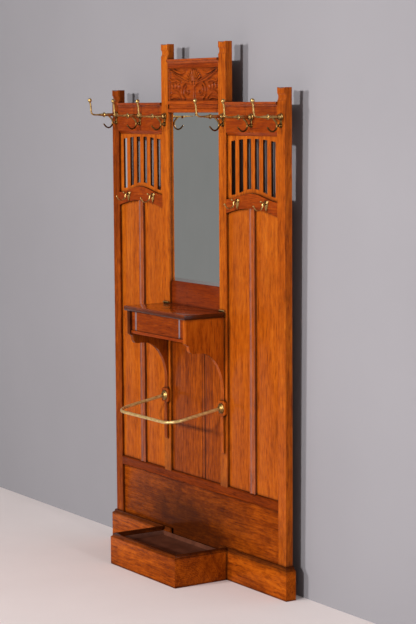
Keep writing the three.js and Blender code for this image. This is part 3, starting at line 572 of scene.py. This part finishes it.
def prism(points, axis, low, high):
    """A straight moulding: a section pushed along an axis, as a bmesh. Section points are
    (y, z) along x, (x, z) along y and (x, y) along z."""
    order = {"x": lambda a, b, t: (t, a, b), "y": lambda a, b, t: (a, t, b),
             "z": lambda a, b, t: (a, b, t)}[axis]
    shape = bmesh.new()
    ends = [[shape.verts.new(order(a, b, t)) for a, b in points] for t in (low, high)]
    band(shape, *ends)
    shape.faces.new(ends[0][::-1])
    shape.faces.new(ends[1])
    bmesh.ops.recalc_face_normals(shape, faces=shape.faces)
    return shape


def shaped(name, shape, node, width, angle=28):
    """A wooden piece from a bmesh, which stands for a CAD node; a width of 0 leaves its arrises."""
    bmesh.ops.recalc_face_normals(shape, faces=shape.faces)
    made = new_piece(name, mesh_of(name, shape), node, OAK[node])
    if width:
        worn_edges(made, width, angle)


def arc(centre_a, centre_b, radius_a, radius_b, start, stop, steps):
    """Points along an ellipse's arc, with the angles in degrees."""
    return [(centre_a + radius_a * math.cos(math.radians(start + (stop - start) * i / steps)),
             centre_b + radius_b * math.sin(math.radians(start + (stop - start) * i / steps)))
            for i in range(steps + 1)]


def post(node, foot):
    """A post as a run of sections: a hollow across the front near the top, and a top that is
    dished from side to side."""
    low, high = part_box(node)
    middle, radius, depth = high.z - 36 * MM, 22 * MM, 5 * MM
    reach = math.sqrt(radius ** 2 - (radius - depth) ** 2)
    heights = [foot, (foot + high.z) / 2, middle - reach - 2 * MM]
    heights += [middle + reach * (k / 8) for k in range(-8, 9)]
    heights += [middle + reach + 4 * MM, high.z - 5 * MM, high.z]
    columns = 12
    shape = bmesh.new()
    rings = []
    for z in heights:
        cut_in = max(0.0, math.sqrt(max(radius ** 2 - (z - middle) ** 2, 0)) - (radius - depth))
        x0, x1, y0, y1 = low.x, high.x, low.y + cut_in, high.y
        ring = []
        for x_from, x_to, y_from, y_to in ((x0, x1, y0, y0), (x1, x1, y0, y1), (x1, x0, y1, y1),
                                           (x0, x0, y1, y0)):
            for k in range(columns):
                t = k / columns
                x = x_from + (x_to - x_from) * t
                y = y_from + (y_to - y_from) * t
                across = (x - (x0 + x1) / 2) / (x1 - x0) * 2
                dip = (1 - across ** 2) * 4 * MM if z == high.z else 0.0
                ring.append(shape.verts.new((x, y, z - dip)))
        rings.append(ring)
    for a, b in zip(rings, rings[1:]):
        band(shape, a, b)
    shape.faces.new(rings[0][::-1])
    # the top is strips from the front edge to the back edge
    top = rings[-1]
    front, side_r = top[0:columns + 1], top[columns:2 * columns + 1]
    back, side_l = top[2 * columns:3 * columns + 1][::-1], (top[3 * columns:] + [top[0]])[::-1]
    grid = [front]
    for r in range(1, columns):
        row = [side_l[r]]
        for k in range(1, columns):
            a, b = front[k].co, back[k].co
            row.append(shape.verts.new(a + (b - a) * (r / columns)))
        row.append(side_r[r])
        grid.append(row)
    grid.append(back)
    for a, b in zip(grid, grid[1:]):
        for k in range(columns):
            shape.faces.new((a[k], a[k + 1], b[k + 1], b[k]))
    shaped(node + "_hollowed", shape, node, 1.1)


def moulding(node, points):
    """A moulding that runs level between its CAD node's ends."""
    low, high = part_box(node)
    shaped(node + "_moulded", prism(points, "x", low.x, high.x), node, 0.5)


def cap_section(node, cove):
    """A cap with a cove under its nosing; cove is the hollow's height."""
    low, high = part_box(node)
    nosing = FRONT - low.y
    return [(high.y, low.z), *arc(low.y, low.z, nosing, cove, 0, 90, 10),
            (low.y, high.z - 1.5 * MM), *arc(low.y + 1.5 * MM, high.z - 1.5 * MM, 1.5 * MM,
                                             1.5 * MM, 180, 90, 4)[1:], (high.y, high.z)]


def flute(at, face, width, depth):
    """The hollow of a flute in the front face of a section, from left to right."""
    return arc(at, face, width / 2, depth, 180, 0, 14)


def arch_under(dx, half, bottom, rise):
    """The height of a round arch at dx from its middle."""
    radius = (half ** 2 + rise ** 2) / (2 * rise)
    return bottom + rise - radius + math.sqrt(radius ** 2 - dx ** 2)


def bell(dx, half):
    """1 in the middle, 0 at half, with a level start and end."""
    return (1 + math.cos(math.pi * dx / half)) / 2


def lattice(side):
    """Six upright slots between slim bars; the slots' ends follow the arches."""
    node = f"lattice_panel_{side}"
    low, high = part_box(node)
    rail_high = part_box(f"arched_rail_{side}")[1]
    middle, half = (low.x + high.x) / 2, (high.x - low.x) / 2
    spacing, slot_half = 53.5 * MM, 13.5 * MM
    reach = 3 * spacing
    rise = 27 * MM
    rail_top = rail_high.z - rise
    slot_top = high.z - 11 * MM
    slot_low = rail_top + 16 * MM
    edges = [-half]
    for i in range(6):
        centre = (i - 2.5) * spacing
        edges += [centre - slot_half, centre + slot_half]
    edges.append(half)
    columns = []
    steps = 6
    for i, (a, b) in enumerate(zip(edges, edges[1:])):
        for k in range(steps):
            columns.append((a + (b - a) * k / steps, i % 2 == 1))
    columns.append((half, False))
    shape = bmesh.new()
    grid = []
    for dx, _ in columns:
        levels = (rail_top + rise * bell(dx, half) + 0.3 * MM,
                  slot_low + 29 * MM * bell(dx, reach),
                  slot_top - 12 * MM * (dx / reach) ** 2, high.z)
        grid.append([shape.verts.new((middle + dx, low.y, z)) for z in levels])
    for i, (a, b) in enumerate(zip(grid, grid[1:])):
        for level in (0, 1, 2):
            if level == 1 and columns[i][1]:
                continue
            shape.faces.new((a[level], b[level], b[level + 1], a[level + 1]))
    grown = bmesh.ops.extrude_face_region(shape, geom=shape.faces[:])
    for v in grown["geom"]:
        if isinstance(v, bmesh.types.BMVert):
            v.co.y = high.y
    shaped(node + "_pierced", shape, node, 0.7)


def arched_rail(side):
    node = f"arched_rail_{side}"
    low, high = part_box(node)
    panel_low, panel_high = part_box(f"lattice_panel_{side}")
    middle, half = (low.x + high.x) / 2, (panel_high.x - panel_low.x) / 2
    top, rise = high.z - 27 * MM, 27 * MM
    steps = 40
    xs = [-half + 2 * half * i / steps for i in range(steps + 1)]
    under = [(middle + dx, arch_under(dx, half, low.z, 25 * MM)) for dx in xs]
    over = [(middle + dx, top + rise * bell(dx, half)) for dx in reversed(xs)]
    shaped(node + "_sawn", prism(under + over, "y", low.y, high.y), node, 1.0)


def mullion(side):
    node = f"mullion_{side}"
    low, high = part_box(node)
    middle = (low.x + high.x) / 2
    section = [(low.x, high.y), (low.x, low.y), *flute(middle, low.y, 22 * MM, 4.5 * MM),
               (high.x, low.y), (high.x, high.y)]
    shaped(node + "_fluted", prism(section, "z", low.z, high.z), node, 1.0, angle=35)


def bracket(side, sign):
    """The bracket's board, with its scroll, arch and tail, and the block for the rail."""
    node = f"bracket_{side}"
    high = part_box(node)[1]
    board_middle, board_thick = sign * 210 * MM, 20 * MM

    def at(forward, z):
        return (FRONT - forward * MM, z * MM)

    top = high.z / MM
    scroll = [at(180, 942), at(175, 940), at(175, 938),
              *[at(-a, b) for a, b in arc(-175, 924, 12, 14, 90, 0, 10)[1:]],
              *[at(-a, b) for a, b in arc(-145, 922, 18, 20, 180, 270, 10)[1:]]]
    arch = [at(-a, b) for a, b in arc(-112, 740, 107, 162, 90, 0, 32)]
    board = [at(0, top), at(180, top), *scroll, *arch, at(5, 708), at(9, 704), at(9, 508),
             at(5, 498), at(0, 498)]
    shaped(node + "_board", prism(board, "x", board_middle - board_thick / 2,
                                  board_middle + board_thick / 2), node, 1.2)
    half, cut = 24 * MM, 7 * MM
    x0, x1, z0, z1 = board_middle - half, board_middle + half, 648 * MM, 708 * MM
    block = [(x0 + cut, z0), (x1 - cut, z0), (x1, z0 + cut), (x1, z1 - cut), (x1 - cut, z1),
             (x0 + cut, z1), (x0, z1 - cut), (x0, z0 + cut)]
    shaped(node + "_block", prism(block, "y", FRONT - 12 * MM, FRONT), node, 2.2)


def box_front():
    low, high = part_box("box_front")
    section = [(low.x, high.y), (low.x, low.y), *flute(-164 * MM, low.y, 18 * MM, 4 * MM),
               *flute(164 * MM, low.y, 18 * MM, 4 * MM), (high.x, low.y), (high.x, high.y)]
    shaped("box_front_fluted", prism(section, "z", low.z, high.z), "box_front", 0.8,
                  angle=35)


def mirror_top_rail():
    low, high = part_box("mirror_top_rail")
    bottom, top = low.z, high.z
    middle, reach = (bottom + top) / 2, (top - bottom) / 2 - 14 * MM
    back = FRONT + 24 * MM
    section = [(back, bottom), (FRONT + 3 * MM, bottom), (FRONT, bottom + 3 * MM),
               *arc(FRONT, middle, 6 * MM, reach, -90, 90, 16),
               (FRONT - 2 * MM, middle + reach), (FRONT - 2 * MM, top - 3 * MM),
               (FRONT + 1 * MM, top), (back, top)]
    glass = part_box("mirror_glass")
    shape = prism(section, "x", glass[0].x, glass[1].x)
    shaped("mirror_top_rail_moulded", shape, "mirror_top_rail", 0.6)


CARVED_DEPTH = 7.5 * MM


def carving():
    """A carved panel of a design of its own: a fan over two volutes, leaves and berries."""
    low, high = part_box("carved_panel")
    centre_x, centre_z = (low.x + high.x) / 2, (low.z + high.z) / 2
    half_w, half_h = (high.x - low.x) / 2 / MM, (high.z - low.z) / 2 / MM
    nx, nz = 264, 96
    xs = np.linspace(-half_w, half_w, nx)
    zs = np.linspace(-half_h, half_h, nz)
    gx, gz = np.meshgrid(xs, zs)
    relief = np.zeros_like(gx)

    def ridge(path, widths):
        """How high a rounded ridge along a path stands, with a width at each point."""
        points = np.array(path, float)
        wide = np.interp(np.linspace(0, 1, len(points)), np.linspace(0, 1, len(widths)), widths)
        best = np.zeros_like(gx)
        for a, b, wa, wb in zip(points, points[1:], wide, wide[1:]):
            d = b - a
            t = ((gx - a[0]) * d[0] + (gz - a[1]) * d[1]) / max(d @ d, 1e-9)
            t = np.clip(t, 0, 1)
            far = np.hypot(gx - a[0] - t * d[0], gz - a[1] - t * d[1])
            w = wa + (wb - wa) * t
            best = np.maximum(best, np.sqrt(np.clip(1 - (far / w) ** 2, 0, 1)))
        return best

    def stroke(path, widths, height=1.0):
        np.maximum(relief, ridge(path, widths) * height, out=relief)

    def groove(path, width, depth):
        relief[:] -= depth * ridge(path, [width]) * (relief > 0.3)

    def curve(points):
        return rounded([tuple(map(float, p)) for p in points], 6)

    for k in range(-4, 5):
        a = math.radians(12.5 * k)
        start, stop = 17 + abs(k), 58 - 1.2 * abs(k)
        stroke([(start * math.sin(a), start * math.cos(a) - 4),
                (stop * math.sin(a) * 1.12, min(stop * math.cos(a) - 4, 55))], [2.4, 4.0, 5.6])
    stroke([(0, -58), (0, -30), (0, 6)], [5.5, 4.2, 7.5])
    for s in (-1, 1):
        turns = [(t + 2.4, 4 + 4.1 * t) for t in np.linspace(0.2, 4.9, 40)]
        stroke([(s * (46 + r * math.cos(a)), -27 + r * math.sin(a)) for a, r in turns],
               [2.6, 3.2, 3.6])
        stroke(curve([(s * 6, -8), (s * 30, 6), (s * 62, 6), (s * 84, -14), (s * 84, -40),
                      (s * 66, -57)]), [4.5, 3.8, 4.6, 3.4])
        stroke(curve([(s * 12, 4), (s * 52, 14), (s * 96, 26), (s * 172, 54)]),
               [4.0, 8.5, 9.0, 3.0], 0.95)
        groove(curve([(s * 30, 9), (s * 80, 22), (s * 158, 49)]), 1.8, 0.5)
        stroke(curve([(s * 62, 50), (s * 92, 44), (s * 120, 48), (s * 150, 58)]),
               [3.0, 6.0, 2.4], 0.8)
        stroke(curve([(s * 98, 8), (s * 128, 16), (s * 160, 12), (s * 177, 22)]),
               [3.2, 5.5, 3.0], 0.85)
        for x, z, r in ((112, -10, 9.0), (136, -6, 8.0), (158, -8, 7.0)):
            stroke([(s * x, z - 3), (s * x, z + 3)], [r])
        stroke(curve([(s * 98, -54), (s * 122, -34), (s * 150, -30), (s * 178, -44)]),
               [2.8, 6.5, 6.0, 2.8], 0.9)
        stroke(curve([(s * 112, -58), (s * 140, -52), (s * 172, -58)]), [2.4, 4.2, 2.4], 0.7)

    rim_x = np.clip((np.abs(gx) - (half_w - 9)) / 4, 0, 1)
    rim_z = np.clip((np.abs(gz) - (half_h - 4)) / 3, 0, 1)
    rim = np.maximum(rim_x, rim_z)
    relief = np.maximum(relief, rim * rim * (3 - 2 * rim))
    shape = bmesh.new()
    rows = []
    for j in range(nz):
        rows.append([shape.verts.new((centre_x + gx[j, i] * MM,
                                      low.y + CARVED_DEPTH * (1 - float(relief[j, i])),
                                      centre_z + gz[j, i] * MM)) for i in range(nx)])
    for a, b in zip(rows, rows[1:]):
        for i in range(nx - 1):
            shape.faces.new((a[i], a[i + 1], b[i + 1], b[i]))
    # sides and a flat back close the board
    border = rows[0] + [r[-1] for r in rows[1:-1]] + rows[-1][::-1] + [r[0] for r in rows[-2:0:-1]]
    behind = [shape.verts.new((v.co.x, high.y, v.co.z)) for v in border]
    band(shape, behind, border)
    shape.faces.new(behind)
    shaped("carved_panel_relief", shape, "carved_panel", 0)


for side, sign in SIDES:
    post(f"post_outer_{side}", 0.0)
    post(f"post_inner_{side}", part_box("dado_rail")[1].z - 5 * MM)
    moulding(f"side_cap_{side}", cap_section(f"side_cap_{side}", 7 * MM))
    lattice(side)
    arched_rail(side)
    mullion(side)
    bracket(side, sign)
moulding("crest_cap", cap_section("crest_cap", 10 * MM))
box_front()
mirror_top_rail()
carving()
TONGUED = {"middle_board_left": ("low", "high"), "middle_board_right": ("high",)}
for side, _ in SIDES:
    for which in "ab":
        TONGUED[f"side_panel_{side}_{which}"] = ("low", "high")
for node in OAK:
    if not frame["nodes"][node].hide_render:
        wooden(node, OAK[node], tongued=TONGUED.get(node, ()))

# ---- Mirror, tray and back ----------------------------------------------------------

MIRROR = silvering("mirror_silver")
BRASS = worn_brass("handled_brass", gloom=0.08)
COAT_BRASS = worn_brass("coat_hook_brass", 1.765, 1.815, gloom=0.19)
SMALL_BRASS = worn_brass("small_hook_brass", gloom=0.22)
FLANGE_BRASS = worn_brass("flange_brass", gloom=0.32)
RAIL_BRASS = worn_brass("rail_brass", gloom=0.10, metal=0.5)
ENAMEL = brown_enamel("brown_enamel")
PINE = bare_pine("bare_pine")


def mirror():
    """Plate glass with a ground bevel round its front."""
    low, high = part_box("mirror_glass")
    bevel, fall = 13 * MM, 0.8 * MM
    shape = bmesh.new()

    def ring(inset, y):
        return [shape.verts.new((x, y, z)) for x, z in (
            (low.x + inset, low.z + inset), (high.x - inset, low.z + inset),
            (high.x - inset, high.z - inset), (low.x + inset, high.z - inset))]

    rings = [ring(0, high.y), ring(0, low.y + fall), ring(bevel, low.y)]
    for a, b in zip(rings, rings[1:]):
        band(shape, a, b)
    shape.faces.new(rings[0][::-1])
    shape.faces.new(rings[-1])
    bmesh.ops.recalc_face_normals(shape, faces=shape.faces)
    data = mesh_of("mirror_plate", shape)
    data.shade_flat()
    new_piece("mirror_plate", data, "mirror_glass", MIRROR)


mirror()
for node, material in (("mirror_backboard", PINE), ("drip_pan", ENAMEL)):
    wooden(node, material, 0.6)

# ---- Brass --------------------------------------------------------------------------


def brass_piece(name, shape, node, metal):
    bmesh.ops.recalc_face_normals(shape, faces=shape.faces)
    data = mesh_of(name, shape)
    data.set_sharp_from_angle(angle=math.radians(50))
    new_piece(name, data, node, metal)


def forward_path(origin, points):
    """Points given as (forward, height) from origin, in millimetres."""
    return [origin + Vector((0, -forward * MM, height * MM)) for forward, height in points]


def round_section(origin, profile, drop=0.0):
    """A form turned about a line that runs forward, drop millimetres under the origin."""
    points = [origin + Vector((0, -f * MM, -drop * MM)) for f, _ in profile]
    return points, [r * MM for _, r in profile]


# The coat hook in millimetres from its root: the turned arm as (forward, radius), the path of
# the raised tip and the middle of its ball as (forward, height), the ball and its collar as
# (height from that middle, radius) and the path of the curl as (forward, height).
ARM = rounded([(12, 5.4), (16, 6.3), (22, 6.7), (28, 6.3), (34, 6.8), (42, 6.4), (49, 6.2),
               (53, 5.6), (55, 6.4), (56.3, 9.0), (57.6, 10.2), (59.6, 10.3), (61, 9.2),
               (62, 7.0), (66, 6.2), (73, 5.5), (82, 4.3), (90, 3.5), (98, 3.3)], 3)
RISE = rounded([(98, 0), (105, 0.2), (111, 1.4), (116, 4.4), (119.4, 9.0), (121, 16), (121.8, 26),
                (123, 38), (125, 49)], 4)
TIP = (126.4, 60.3)
NECK = [(-9.6, 3.6), (-8.6, 4.4), (-7.6, 4.2), (-6.9, 4.6), (-6.2, 5.6), (-5.0, 6.8), (-3.0, 7.8),
        (0.0, 8.3), (3.0, 7.8), (5.0, 6.7), (6.6, 5.2), (7.7, 3.3), (8.2, 1.6), (8.35, 0.5)]
CURL = rounded([(40, -2), (33, -8), (26, -14.5), (20.6, -22), (18.6, -31), (20.3, -40.5),
                (27, -49.5), (38, -53.6), (48, -50.6), (56, -43.6), (62.5, -36.8)], 5)


def coat_hook(index):
    """A cast hook with a long turned arm, a raised tip with a ball and a curl below it."""
    node = f"coat_hook_{index}"
    low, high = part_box(node)
    tip_rise = 68.3 * MM
    origin = Vector(((low.x + high.x) / 2, FRONT, high.z - tip_rise))
    shape = bmesh.new()
    head = rounded([(0, 13), (1.8, 13), (3.0, 12.3), (3.8, 10.4), (5.0, 10.2), (7.5, 10.8),
                    (10.5, 10.4), (13.5, 8.8), (15.6, 6.6), (16.4, 5.0)], 3)
    tube(shape, *round_section(origin, head), sides=28)
    foot = rounded([(0, 8.5), (1.8, 8.5), (2.8, 7.8), (3.6, 6.6), (5.2, 6.9), (7.2, 7.0), (9.6, 6.2),
                    (11.4, 4.4), (12.4, 2.0), (12.6, 0.4)], 3)
    tube(shape, *round_section(origin, foot, 32), sides=24)
    tube(shape, forward_path(origin, [(1.5, -8), (1.5, -14), (1.5, -21), (1.5, -28)]),
         [(wide * MM, 1.5 * MM) for wide in (5.2, 4.4, 4.2, 5.0)])
    path = forward_path(origin, [(f, 0) for f, _ in ARM] + RISE[1:])
    path += [origin + Vector((0, -(TIP[0] + f * 0.03) * MM, (TIP[1] + f) * MM)) for f, _ in NECK]
    thin = [3.3 + 0.3 * i / len(RISE) for i in range(1, len(RISE))]
    radii = [r * MM for r in [r for _, r in ARM] + thin + [r for _, r in NECK]]
    tube(shape, path, radii, sides=20)
    count = len(CURL) - 1
    curl_radii = [3.9 - 0.9 * (i / count) for i in range(count + 1)]
    curl_radii[-2:] = [2.6, 1.2]
    tube(shape, forward_path(origin, CURL), [r * MM for r in curl_radii], sides=16)
    brass_piece(node + "_cast", shape, node, COAT_BRASS)


def ball_on(shape, origin, place, radius, upright):
    """Adds a ball at a (forward, height) place, turned about an upright or a level line."""
    turns = [math.radians(a) for a in range(-84, 85, 14)]
    rise, reach = (1, 0) if upright else (0, 1)
    points = [(place[0] + reach * radius * math.sin(a), place[1] + rise * radius * math.sin(a))
              for a in turns]
    tube(shape, forward_path(origin, points), [radius * math.cos(a) * MM for a in turns], sides=14)


def small_hook(index):
    """A leaf-shaped plate with a curl below, a short prong above and a ball on each."""
    node = f"small_hook_{index}"
    low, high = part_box(node)
    plate_top = 17 * MM
    origin = Vector(((low.x + high.x) / 2, FRONT, high.z - plate_top))
    shape = bmesh.new()
    # a leaf with five lobes, ribbed and crowned in the middle
    outline = rounded([(0, 15.4), (4, 14.2), (9, 16.6), (13.6, 13.4), (13.4, 7.5), (9.6, 2.5),
                       (9.6, -4), (6.4, -10.5), (3.2, -18), (0, -24.6)], 4)
    ring = list(outline) + [(-x, z) for x, z in reversed(outline[1:-1])]
    steps = 8
    rows = []
    for k in range(steps):
        s = 1 - k / steps
        row = []
        for x, z in ring:
            across, height = x * s, (z - 4) * s + 4
            rib = 1.1 * math.cos(math.atan2(x, 5 - z) * 7) * (1 - s) * s * 4
            rise = 0.8 + 6.0 * (1 - s ** 2) ** 0.8 + rib
            row.append(shape.verts.new(origin + Vector((across * MM, -rise * MM, height * MM))))
        rows.append(row)
    back = [shape.verts.new(origin + Vector((x * MM, 0, z * MM))) for x, z in ring]
    tip = shape.verts.new(origin + Vector((0, -7.2 * MM, 4 * MM)))
    count = len(ring)
    for a, b in zip([back] + rows, rows):
        band(shape, a, b)
    for k in range(count):
        shape.faces.new((rows[-1][k], rows[-1][(k + 1) % count], tip))
    shape.faces.new(back[::-1])
    curl = rounded([(4, 5), (10, 7.6), (14.4, 6.4), (16.4, 0), (17.6, -7), (22.6, -14.4), (31, -19.4),
                    (39, -20), (48, -15.4), (54, -9.2), (57, -3.6)], 5)
    radii = [3.9 - 1.5 * (i / (len(curl) - 1)) for i in range(len(curl))]
    tube(shape, forward_path(origin, curl), [r * MM for r in radii], sides=14)
    ball_on(shape, origin, (58, -3), 3.8, upright=True)
    prong = rounded([(10, 7), (14, 8.4), (18, 10.6), (22, 12.4)], 4)
    tube(shape, forward_path(origin, prong), [2.5 * MM] * len(prong), sides=12)
    ball_on(shape, origin, (25, 13), 4, upright=False)
    brass_piece(node + "_cast", shape, node, SMALL_BRASS)


QUARTER_HANDLE = 0.5523  # the handle length with which a Bezier curve follows a quarter circle


def umbrella_rail():
    """A drawn rod bent to a U, which slopes down from the flanges to the front."""
    node = "umbrella_rail"
    radius, bend = 6.25 * MM, 62 * MM
    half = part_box(node)[1].x - radius
    start = FRONT - 16 * MM
    height, drop, run = 677 * MM, 40 * MM, 226 * MM
    slope, reach = math.atan2(drop, run), math.hypot(drop, run)

    def at(x, along):
        return Vector((x, start - along * math.cos(slope), height - along * math.sin(slope)))

    def corner(sign):
        handle = bend * QUARTER_HANDLE
        a, b = at(sign * half, reach - bend), at(sign * half, reach - bend + handle)
        c, d = at(sign * (half - bend + handle), reach), at(sign * (half - bend), reach)
        return [a * (1 - t) ** 3 + b * 3 * t * (1 - t) ** 2 + c * 3 * t * t * (1 - t) + d * t ** 3
                for t in [k / 16 for k in range(17)]]

    points = [at(-half, -6 * MM), at(-half, 0)]
    points += [at(-half, (reach - bend) * k / 6) for k in range(1, 6)]
    points += corner(-1)
    points += [at(-half + bend + (2 * half - 2 * bend) * k / 10, reach) for k in range(1, 10)]
    points += corner(1)[::-1]
    points += [at(half, (reach - bend) * k / 6) for k in range(5, -1, -1)] + [at(half, -6 * MM)]
    shape = bmesh.new()
    tube(shape, points, [radius] * len(points), sides=28)
    brass_piece("umbrella_rail_drawn", shape, node, RAIL_BRASS)


def flange(side):
    node = f"rail_flange_{side}"
    low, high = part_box(node)
    origin = Vector(((low.x + high.x) / 2, high.y, (low.z + high.z) / 2))
    profile = rounded([(0, 20), (1.6, 20), (2.8, 19.2), (3.6, 17.4), (5.4, 15.8), (7.6, 13.6),
                       (9.4, 11.0), (10.6, 9.6), (11.8, 9.4), (12.8, 8.8), (13.0, 6.8)], 4)
    shape = bmesh.new()
    tube(shape, *round_section(origin, profile), sides=36)
    brass_piece(node + "_spun", shape, node, FLANGE_BRASS)


for index in range(1, 7):
    coat_hook(index)
for index in range(1, 5):
    small_hook(index)
umbrella_rail()
for side, _ in SIDES:
    flange(side)
for node in frame["nodes"]:
    if node.startswith("hinge_leaf"):
        frame["nodes"][node].data.materials.clear()
        frame["nodes"][node].data.materials.append(BRASS)

# ---- Stage, light and camera --------------------------------------------------------

# the wall leans away from the object: its Y at the floor, and how far back it goes per metre
# of height
WALL_FOOT = FRONT + 78 * MM
WALL_LEAN = 9.5 * MM


def sheet_of(name, corners, material):
    data = bpy.data.meshes.new(name)
    data.from_pydata(corners, [], [(0, 1, 2, 3)])
    data.materials.append(material)
    made = bpy.data.objects.new(name, data)
    bpy.context.scene.collection.objects.link(made)


HALF_ROOM, ROOM_HEIGHT = 9, 6
WALL_HEAD = WALL_FOOT + ROOM_HEIGHT * WALL_LEAN
sheet_of("floor", [(-HALF_ROOM, -HALF_ROOM, 0), (HALF_ROOM, -HALF_ROOM, 0),
                   (HALF_ROOM, HALF_ROOM, 0), (-HALF_ROOM, HALF_ROOM, 0)], pale_floor("pale_floor"))
sheet_of("wall", [(-HALF_ROOM, WALL_FOOT, 0), (HALF_ROOM, WALL_FOOT, 0),
                  (HALF_ROOM, WALL_HEAD, ROOM_HEIGHT), (-HALF_ROOM, WALL_HEAD, ROOM_HEIGHT)],
         painted_wall("grey_wall"))


def soft_light(name, place, aim, size, power):
    data = bpy.data.lights.new(name, "AREA")
    data.shape = "RECTANGLE"
    data.size, data.size_y = size
    data.energy = power
    made = bpy.data.objects.new(name, data)
    made.location = place
    made.rotation_euler = (Vector(aim) - Vector(place)).to_track_quat("-Z", "Y").to_euler()
    bpy.context.scene.collection.objects.link(made)


# two lamps far off in front, one to each side, and a strip light at the right, by the wall
DISTANCE = 12.0
AIM = (0, 0, 1.1)
for name, aside, power in (("key_right", 0.36, 1060), ("key_left", -0.12, 900)):
    place = (aside * DISTANCE, FRONT - DISTANCE, 1.9 + 0.17 * DISTANCE)
    soft_light(name, place, AIM, (0.7, 0.7), power)
soft_light("side_fill", (5.6, -0.12, 1.7), AIM, (0.5, 2.4), 75)

# a wide soft light over the floor in front
wash = (-0.2, FRONT - 3.0, 2.8)
soft_light("floor_wash", wash, (wash[0], wash[1], 0), (5.0, 3.0), 25)

# the studio gives little soft light of its own, but it is what the mirror shows
world = bpy.data.worlds.new("studio")
world.use_nodes = True
studio = world.node_tree
glow = studio.nodes["Background"]
glow.inputs[0].default_value = (0.205, 0.205, 0.200, 1)
seen = studio.nodes.new("ShaderNodeLightPath")
strength = studio.nodes.new("ShaderNodeMapRange")
strength.inputs["To Min"].default_value = 1.0
strength.inputs["To Max"].default_value = 0.50
studio.links.new(seen.outputs["Is Diffuse Ray"], strength.inputs["Value"])
studio.links.new(strength.outputs[0], glow.inputs[1])
bpy.context.scene.world = world
bpy.context.scene.view_settings.view_transform = "Standard"

# a long lens, from the object's right and a little above its middle
EYE = (6.34683, -3.92354, 1.86072)
LENS = 109.585
camera_data = bpy.data.cameras.new("view")
camera_data.sensor_width = 36.0
camera_data.sensor_fit = "AUTO"
camera_data.lens = LENS
camera_data.clip_end = 60
camera = bpy.data.objects.new("view", camera_data)
azimuth, down, roll = (math.radians(v) for v in (57.134, 6.256, -0.389))
ahead = Vector((-math.sin(azimuth) * math.cos(down), math.cos(azimuth) * math.cos(down),
                -math.sin(down)))
level_right = ahead.cross(Vector((0, 0, 1))).normalized()
level_up = level_right.cross(ahead)
right = level_right * math.cos(roll) + level_up * math.sin(roll)
up = level_up * math.cos(roll) - level_right * math.sin(roll)
camera.matrix_world = Matrix.Translation(EYE) @ Matrix(
    (right, up, -ahead)).transposed().to_4x4()
bpy.context.scene.collection.objects.link(camera)
bpy.context.scene.camera = camera
